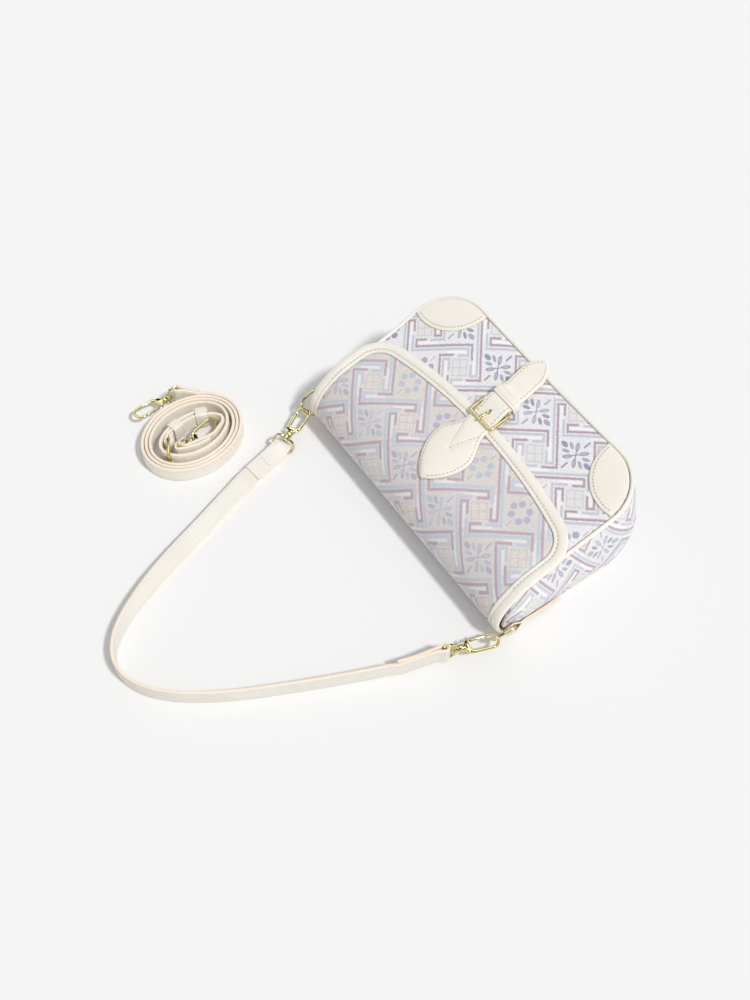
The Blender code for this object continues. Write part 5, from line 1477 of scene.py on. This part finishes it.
def hook_shape():
    """A lobster hook: peened head, shank, grooved barrel, flat shoulder, and a bend that ends in a nose."""
    barrel = BOSS_END + GAP
    head = BOSS_START - GAP
    thin = HOOK_WIRE * DRAWN
    turned = [(head - 1.4, 1.2), (head - 1.2, 1.8), (head - 0.9, 2.0), (head - 0.1, 2.0)]
    turned += [(head, SHANK_RADIUS), (barrel - 0.05, SHANK_RADIUS)]
    turned += [(barrel, 2.4), (barrel + 0.4, 2.8), (barrel + 1.3, 2.8)]
    turned += [(barrel + 1.5, 2.55), (barrel + 1.7, 2.8), (barrel + 2.8, 2.8), (barrel + 3.3, 2.45)]
    body = [
        (barrel + 3.5, 0, 2.3, 2.3),
        (barrel + 4.4, 0, 3.6, 2.1),
        (barrel + 5.6, 0, 5.2, 1.7),
        (barrel + 6.8, 0, 5.2, 1.6),
        (GATE_PIVOT_A - 0.7, -3.9, 2.0, 1.5),
        (GATE_PIVOT_A + 1.8, -4.7, 1.3, 1.25),
        (GATE_PIVOT_A + 7, -HOOK_RADIUS, thin, thin),
        (HOOK_ARC_A, -HOOK_RADIUS, thin, thin),
    ]
    stations = [(a, 0, radius, radius) for a, radius in turned] + blended(body, 4)
    sections = [ellipse(Vector((a, b, 0)), ACROSS, UP, hb, hn) for a, b, hb, hn in stations]
    for a, b in arc((HOOK_ARC_A, 0), HOOK_RADIUS, -90, 90, 24):
        radial = Vector((a - HOOK_ARC_A, b, 0)).normalized()
        sections.append(ellipse(Vector((a, b, 0)), -radial, UP, thin, thin))
    for back, size in ((1.2, 1.0), (0.3, 0.98), (0.0, 0.8)):
        nose = Vector((HOOK_NOSE_A + back, HOOK_RADIUS, 0))
        sections.append(ellipse(nose, -ACROSS, UP, thin * size, thin * size))
    return skin(sections)


def gate_shape():
    """The sprung gate with its rivet, and the small thumb piece that opens it."""
    reach = HOOK_NOSE_A - GAP - 0.1 - GATE_PIVOT_A
    pivot = Vector((GATE_PIVOT_A, GATE_PIVOT_B, 0))
    way = Vector((1, (4.7 - GATE_PIVOT_B) / reach, 0))
    stations = [(-1.05, 0.45), (-0.7, 0.85), (0.0, 1.1), (3.0, 1.1)]
    stations += [(reach - 1.2, 1.05), (reach - 0.3, 0.95), (reach, 0.7)]
    bar = [ellipse(pivot + way * run, ACROSS, UP, radius, radius, 16) for run, radius in stations]
    pin = ((-1.55, 0.35), (-1.45, 0.5), (1.45, 0.5), (1.55, 0.35))
    rivet = [ellipse(pivot + UP * z, ACROSS, ALONG, radius, radius, 12) for z, radius in pin]
    root, lean = pivot + Vector((4.2, 0.7, 0)), Vector((0.25, 0.8, 0))
    knob = ((0.0, 0.55), (0.9, 0.6), (1.7, 0.75), (2.2, 0.7), (2.4, 0.4))
    thumb = [ellipse(root + lean * step, ALONG, UP, radius, radius * 1.1, 12) for step, radius in knob]
    return merge([skin(bar), skin(rivet), skin(thumb)])


EYE_SHAPE = eye_shape()
HOOK_SHAPE = hook_shape()
GATE_SHAPE = gate_shape()


def hook_frame(bar, along, across):
    along = along.normalized()
    across = (across - along * across.dot(along)).normalized()
    up = along.cross(across)
    return Matrix([(along[i], across[i], up[i], bar[i]) for i in range(3)] + [(0, 0, 0, 1)])


def trigger_hook(word, bar, along, eye_across, hook_across, bodies):
    """A hook with its eye and its gate, each on a body of its own."""
    kinds = (("hook_eye_", EYE_SHAPE, eye_across), ("hook_", HOOK_SHAPE, hook_across))
    kinds += (("hook_gate_", GATE_SHAPE, hook_across),)
    for (kind, (points, faces), across), body in zip(kinds, bodies):
        place = hook_frame(bar, along, across)
        fitting(kind + word, ([place @ Vector(point) for point in points], faces), body, 50)


# ---- Straps


def route_frames(points, across):
    """A route's running lengths, places and directions, and which way a strap along it is wide."""
    tangents = directions(points)
    across = [(width - run * width.dot(run)).normalized() for width, run in zip(across, tangents)]
    return lengths(points), points, tangents, across


def at_length(frames, length):
    runs, points, tangents, across = frames
    if length <= 0:
        return points[0] + tangents[0] * length, tangents[0], across[0]
    if length >= runs[-1]:
        return points[-1] + tangents[-1] * (length - runs[-1]), tangents[-1], across[-1]
    i = min(int(np.searchsorted(runs, length, side="right")) - 1, len(runs) - 2)
    share = (length - runs[i]) / (runs[i + 1] - runs[i])
    place, tangent, width = (values[i].lerp(values[i + 1], share) for values in (points, tangents, across))
    return place, tangent.normalized(), width.normalized()


def end_fold(thickness, signed_fold):
    """A strap's end in side view, as (run, stand-off) from the eye's bar: turned-back end, loop, then on."""
    if not signed_fold:
        return [(0, 0), (1, 0), (2, 0)]
    fold = abs(signed_fold)
    layer = thickness / 2 + GAP / 2
    loop = EYE_WIRE + GAP + thickness / 2
    back = [(fold, -layer), (fold - 1.5, -layer), (fold / 2 + loop * 1.1, -layer), (loop * 2.2, -layer)]
    turn = [(-x, y) for x, y in arc((0, 0), loop, -90, 90, 16)]
    ahead = [(loop, loop * 0.72), (loop * 2.2, layer), (fold, layer), (fold + 6, 0)]
    side = math.copysign(1, signed_fold)
    return [(run, off * side) for run, off in back + [(loop, -loop * 0.72)] + turn + ahead]


def folded_strap(name, frames, width, thickness, folds, body, node, finish, bar_seam=None):
    """A flat strap whose ends turn back round a bar, with painted edges and stitches along each edge."""
    total = frames[0][-1]
    start, end = (end_fold(thickness, fold) for fold in folds)
    middle = [(length, 0) for length in frames[0] if start[-1][0] + 2 < length < total - end[-1][0] - 2]
    centres, widths = [], []
    for run, off in start + middle + [(total - run, off) for run, off in reversed(end)]:
        place, tangent, across = at_length(frames, run)
        centres.append(place + across.cross(tangent).normalized() * off)
        widths.append(across)
    normals = [across.cross(run).normalized() for across, run in zip(widths, directions(centres))]
    profile = strap_profile(width, thickness)
    rows = list(zip(centres, widths, normals))
    sections = [[centre + across * a + normal * b for a, b in profile] for centre, across, normal in rows]
    made = strap_piece(name, node, body, sections, [finish, EDGE], profile)
    for a in (1.9 - width / 2, width / 2 - 1.9):
        for face in (1, -1):
            lift = face * (thickness / 2 + 0.05)
            path = [centre + across * a + normal * lift for centre, across, normal in rows[2:-2]]
            stitch_line(body, path, [normal * face for normal in normals[2:-2]], kept=PALE_STITCHES)
    if bar_seam is not None:
        place, across, normal = rows[bar_seam]
        for face in (1, -1):
            lift = normal * face * (thickness / 2 + 0.05)
            path = [place + across * a + lift for a in np.linspace(2.4 - width / 2, width / 2 - 2.4, 6)]
            stitch_line(body, path, normal * face, 2.2)
    return made


def handle_ends():
    """Where the hooks' eyes lie and which way their hooks point, and how high each eye lies."""
    edge = math.sin(HANDLE_TILT) * HANDLE_WIDTH / 2
    loop_depth = EYE_WIRE + GAP + HANDLE_THICKNESS
    heights = (edge + math.cos(HANDLE_TILT) * loop_depth + 0.1, END_HEIGHT)
    bars, alongs = [], []
    for side, lean, height in zip((1, -1), HOOK_LEANS, heights):
        link = link_point(side)
        drop = link.z - height
        level = math.sqrt(HOOK_LINK_A**2 - drop**2)
        angle = math.radians(lean)
        bars.append(link - Vector((side * math.sin(angle) * level, -math.cos(angle) * level, drop)))
        alongs.append((link - bars[-1]).normalized())
    return bars, alongs, heights


def handle_line(bars, alongs):
    """The handle on the floor, from the right eye round to the left one, as (x, y) places."""
    first, last = (bar.xy for bar in bars)
    route = [first.lerp(last, u) + Vector((0, HANDLE_REACH * v)) for u, v in HANDLE_ROUTE]
    leads = [-along.xy.normalized() for along in alongs]
    lead = leads[0].lerp((route[0] - first).normalized(), 0.7).normalized()
    end = [last + leads[1] * run for run in (16, 10, 5, 0)]
    return spline_points([first, first + lead * 5, *route, *end], 2.5)


def handle():
    bars, alongs, heights = handle_ends()
    line = handle_line(bars, alongs)
    edge = math.sin(HANDLE_TILT) * HANDLE_WIDTH / 2
    doubled = edge + math.cos(HANDLE_TILT) * (HANDLE_THICKNESS + GAP / 2)
    apex = max(range(len(line)), key=lambda i: line[i].y)
    runs = lengths(line)
    points, across = [], []
    for i, (place, way, run) in enumerate(zip(line, directions(line), runs)):
        angle = HANDLE_TILT + (math.pi / 2 - HANDLE_TILT) * ease((i - 0.35 * apex) / (0.65 * apex))
        across.append(Vector((way.y, -way.x, 0)) * math.cos(angle) + UP * math.sin(angle))
        rest = math.sin(angle) * HANDLE_WIDTH / 2 + math.cos(angle) * HANDLE_THICKNESS / 2
        above = (heights[0] - alongs[0].z * run - doubled) * (1 - ease((run - 7) / 12))
        start = (doubled - rest + above) * (1 - ease((run - HANDLE_FOLD - 4) / 20))
        back = runs[-1] - run
        end = (heights[1] - alongs[1].z * back - HANDLE_WIDTH / 2) * (1 - ease((back - 7) / 50))
        points.append(Vector((*place, rest + 0.02 + (start if i < apex else end))))
    frames = route_frames(points, across)
    size = HANDLE_WIDTH, HANDLE_THICKNESS
    folds = -HANDLE_FOLD, -HANDLE_FOLD
    folded_strap("handle_leather", frames, *size, folds, "handle", "handle_strap", SHADED_HANDLE_LEATHER, bar_seam=2)
    for word, bar, along, width in zip(("right", "left"), bars, alongs, (frames[3][0], frames[3][-1])):
        bodies = ("handle", "handle_hook_" + word, "handle_gate_" + word)
        trigger_hook(word, bar, along, width, UP.cross(along), bodies)


def roll_point(turns):
    """A place on the rolled strap's middle, some turns in from its start."""
    inset = ROLL_PITCH * turns + ROLL_LOOSENING * max(0.0, turns - ROLL_LOOSE_FROM) ** 1.3
    angle = math.radians(ROLL_START - 360 * turns)
    squash = ROLL_SQUASH * ease((turns - ROLL_SQUASH_FROM) / 0.45)
    x = (ROLL_SHORT - inset - squash) * math.cos(angle) - squash
    y = (ROLL_LONG - inset) * math.sin(angle)
    c, s = math.cos(ROLL_TILT), math.sin(ROLL_TILT)
    raised = ease((turns - ROLL_LOOSE_FROM - 0.2) / 0.6) * (END_HEIGHT - LONG_WIDTH / 2)
    spun = Vector((x * c - y * s, x * s + y * c))
    return Vector((ROLL_CENTRE[0] + spun.x, ROLL_CENTRE[1] + spun.y, LONG_WIDTH / 2 + raised))


def roll_frame(turns):
    run = roll_point(turns + 0.002) - roll_point(turns - 0.002)
    run.z = 0
    run.normalize()
    return roll_point(turns), run, Vector((run.y, -run.x, 0))


def slider_bars():
    centre, run, side = roll_frame(SLIDER_TURN)
    along = run * math.cos(SLIDER_TURN_OUT) + side * math.sin(SLIDER_TURN_OUT)
    centre = centre + side * SLIDER_INSET
    return centre + along * (SLIDER_LENGTH / 2), centre - along * (SLIDER_LENGTH / 2), along


def long_strap():
    """The rolled strap: its long part from the outer hook inwards, and its short part to the inner hook."""
    _, lead, _ = roll_frame(0.0)
    points = [roll_point(0) - lead * run for run in spread(LONG_TAIL, 0, 10)[:-1]]
    points += [roll_point(turns) for turns in spread(0, TIP_TURN, round(60 * TIP_TURN))]
    run = 0.0
    for i, point in enumerate(points):
        run += (point - points[i - 1]).length if i else 0.0
        point.z += (END_HEIGHT - LONG_WIDTH / 2) * (1 - ease(run / ROLL_END_RUN))
    knots = [slider_bars()[0].xy]
    for turns in spread(SHORT_START_TURN, LOOP_TURNS[1] + 0.02, 7):
        place, _, side = roll_frame(turns)
        knots.append((place + side * LAYERS_APART).xy)
    knots += [Vector(ROLL_CENTRE) + Vector(step) for step in INNER_ROUTE]
    places = [Vector((*place, END_HEIGHT)) for place in spline_points(knots, 1.8)]
    parts = (
        ("long_strap_leather", points, (-LONG_FOLD, 0), "long_strap"),
        ("short_strap_leather", places, SHORT_FOLDS, "long_strap_short"),
    )
    body = "shoulder_strap"
    for name, path, folds, node in parts:
        frames = route_frames(path, [UP] * len(path))
        made = folded_strap(name, frames, LONG_WIDTH, LONG_THICKNESS, folds, body, node, SHADED_ROLL_LEATHER)
        cut(made, pin_block())
    outward = Vector((-0.05, 1, 0)).normalized()
    inward = Vector((0.26, -1, 0)).normalized()
    bodies = (body, "strap_hook_outer", "strap_gate_outer")
    trigger_hook("long_outer", points[0], outward, UP, UP.cross(outward), bodies)
    across = inward.cross(UP) * math.cos(INNER_HOOK_ROLL) - UP * math.sin(INNER_HOOK_ROLL)
    trigger_hook("long_inner", places[-1], inward, UP, across, (body, "strap_hook_inner", "strap_gate_inner"))


def strap_loop(word, turns):
    """A leather loop round both lengths of the rolled strap."""
    centre, run, side = roll_frame(turns)
    out = LONG_THICKNESS / 2 + GAP + 0.5
    half_up = LONG_WIDTH / 2 + GAP
    outline = rounded((-out, -half_up), (LAYERS_APART + out, half_up), 4, 0.9)
    low, wall = -LOOP_WIDTH / 2, LOOP_WALL
    profile = [(low, 0.0), (low, wall * 0.6), (low + 0.35, wall), (low + 1.0, wall)]
    profile += [(low + 1.3, wall - 0.15), (low + 1.6, wall)]
    profile += mirrored(profile)

    def place(along, n, z):
        return centre + side * n + UP * z + run * along

    node = "long_loop_" + word
    leather_loop(node + "_leather", SHADED_ROLL_LEATHER, "shoulder_strap", node, outline, profile, place)


def pin_line():
    hinge, nose, along = slider_bars()
    out = UP.cross(along).normalized()
    radius = SLIDER_WIRE + 0.25 + PIN_RADIUS
    points = [hinge + along * (radius * c) + out * (radius * s) for c, s in arc((0, 0), 1, 60, -180, 18)]
    points += [hinge - along * (radius * 0.9) + out * (radius * 0.6), hinge - along * 3.2 + out * radius]
    return points + [nose - along * 0.4 + out * radius]


def pin_block():
    """The block that makes room in the strap for the slider's pin."""
    hinge, nose, along = slider_bars()
    out = UP.cross(along).normalized()
    reach = SLIDER_WIRE + 0.25 + 2 * PIN_RADIUS + GAP
    corners = [(n * reach, z * PIN_SLOT / 2) for n, z in ((-1, -1), (1, -1), (1, 1), (-1, 1))]
    places = (hinge + along * (reach + LONG_THICKNESS + 1), nose - along)
    return skin([[place + out * n + UP * z for n, z in corners] for place in places])


def slider():
    hinge, nose, along = slider_bars()
    centre = (hinge + nose) / 2
    half, half_up = SLIDER_LENGTH / 2, LONG_WIDTH / 2 + GAP + 0.1 + SLIDER_WIRE
    outline = rounded((-half, -half_up), (half, half_up), 6, 1.2)
    path = [centre + along * x + UP * z for x, z, _ in outline]
    fitting("long_slider", wire(path, SLIDER_WIRE), "shoulder_strap")
    fitting("long_pin", wire(spline_points(pin_line(), 0.8), PIN_RADIUS, closed=False), "shoulder_strap")


def stitching():
    for word, kept, finish in (("grey", STITCHES, THREAD), ("cream", PALE_STITCHES, PALE_THREAD)):
        for body, beads in kept.items():
            piece(f"stitching_{word}_{body}", merge(beads), [finish], body, (), "leather", angle=80)


def carried_metal():
    """The solids whose shape is right keep it, and take the metal's finish."""
    for name in ("snap_socket", "snap_stud"):
        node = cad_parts[name]
        node.data.materials.clear()
        node.data.materials.append(METAL)


# ---- Floor, light and camera


def camera():
    data = bpy.data.cameras.new("camera")
    data.lens = CAMERA_LENS
    data.sensor_width = 36.0
    data.clip_start = 0.01
    data.clip_end = 20.0
    obj = placed("camera", data)
    right, up = Vector(CAMERA_RIGHT), Vector(CAMERA_UP)
    columns = (right, up, right.cross(up), Vector(CAMERA_PLACE) * MM)
    obj.matrix_world = Matrix([[column[i] for column in columns] for i in range(3)] + [[0, 0, 0, 1]])
    bpy.context.scene.camera = obj


def floor():
    made = Finish("studio floor")
    colour = made.mix(made.noise(1.5, 1.0), srgb("#f4f4f4"), srgb("#f3f3f3"))
    mesh = bpy.data.meshes.new("floor")
    corners = ((-1, -1), (1, -1), (1, 1), (-1, 1))
    mesh.from_pydata([(x * FLOOR_HALF, y * FLOOR_HALF, FLOOR_Z) for x, y in corners], [], [(0, 1, 2, 3)])
    mesh.materials.append(made.surface(colour, 0.9, Specular_IOR_Level=0.0))
    placed("floor", mesh)


def studio():
    """An even white room, which the metal sees as bright and dark panels."""
    world = bpy.data.worlds.new("studio")
    bpy.context.scene.world = world
    world.use_nodes = True
    made = Nodes(world.node_tree)
    lit, output = (made.tree.nodes[name] for name in ("Background", "World Output"))
    lit.inputs["Color"].default_value = (1, 1, 1, 1)
    lit.inputs["Strength"].default_value = ROOM_LIGHT
    rays = made.node("LightPath")
    kinds = ("Camera", "Glossy", "Transmission")
    straight, glossy, through = (Value(made.tree, rays.outputs[f"Is {kind} Ray"]) for kind in kinds)
    x, _, z = made.split(made.node("TexCoord").outputs["Generated"])
    panels = made.node("ValToRGB")
    panels.color_ramp.interpolation = "EASE"
    for place, tone in STUDIO_PANELS:
        panels.color_ramp.elements.new(place).color = (tone, tone, tone * 0.98, 1)
    made.link((z + x * 0.25).socket, panels.inputs["Fac"])
    seen = made.node("Background")
    made.link(made.mix(glossy, srgb("#f4f4f4"), panels.outputs["Color"]), seen.inputs["Color"])
    mixed = made.node("MixShader")
    direct = straight.high(glossy).high(through)
    for place, socket in enumerate((direct.socket, lit.outputs[0], seen.outputs[0])):
        made.link(socket, mixed.inputs[place])
    made.link(mixed.outputs[0], output.inputs["Surface"])


def sun():
    data = bpy.data.lights.new("key", "SUN")
    data.energy = SUN_LIGHT
    data.angle = math.radians(7.0)
    key = placed("key", data)
    key.rotation_mode = "QUATERNION"
    key.rotation_quaternion = Vector(SUN_FROM).normalized().to_track_quat("Z", "Y")


def main():
    camera()
    for build in (back_panel, front_panel, gusset, pipings, patches, lining):
        build()
    for build in (flap, bindings, belt, belt_seams, chape, keeper, buckle):
        build()
    for word, side in SIDES:
        side_tab(word, side)
        side_ring(word, side)
    handle()
    long_strap()
    for word, turns in zip(("a", "b"), LOOP_TURNS):
        strap_loop(word, turns)
    for build in (slider, stitching, carried_metal, floor, studio, sun):
        build()
    bpy.context.scene.view_settings.view_transform = "Standard"


main()
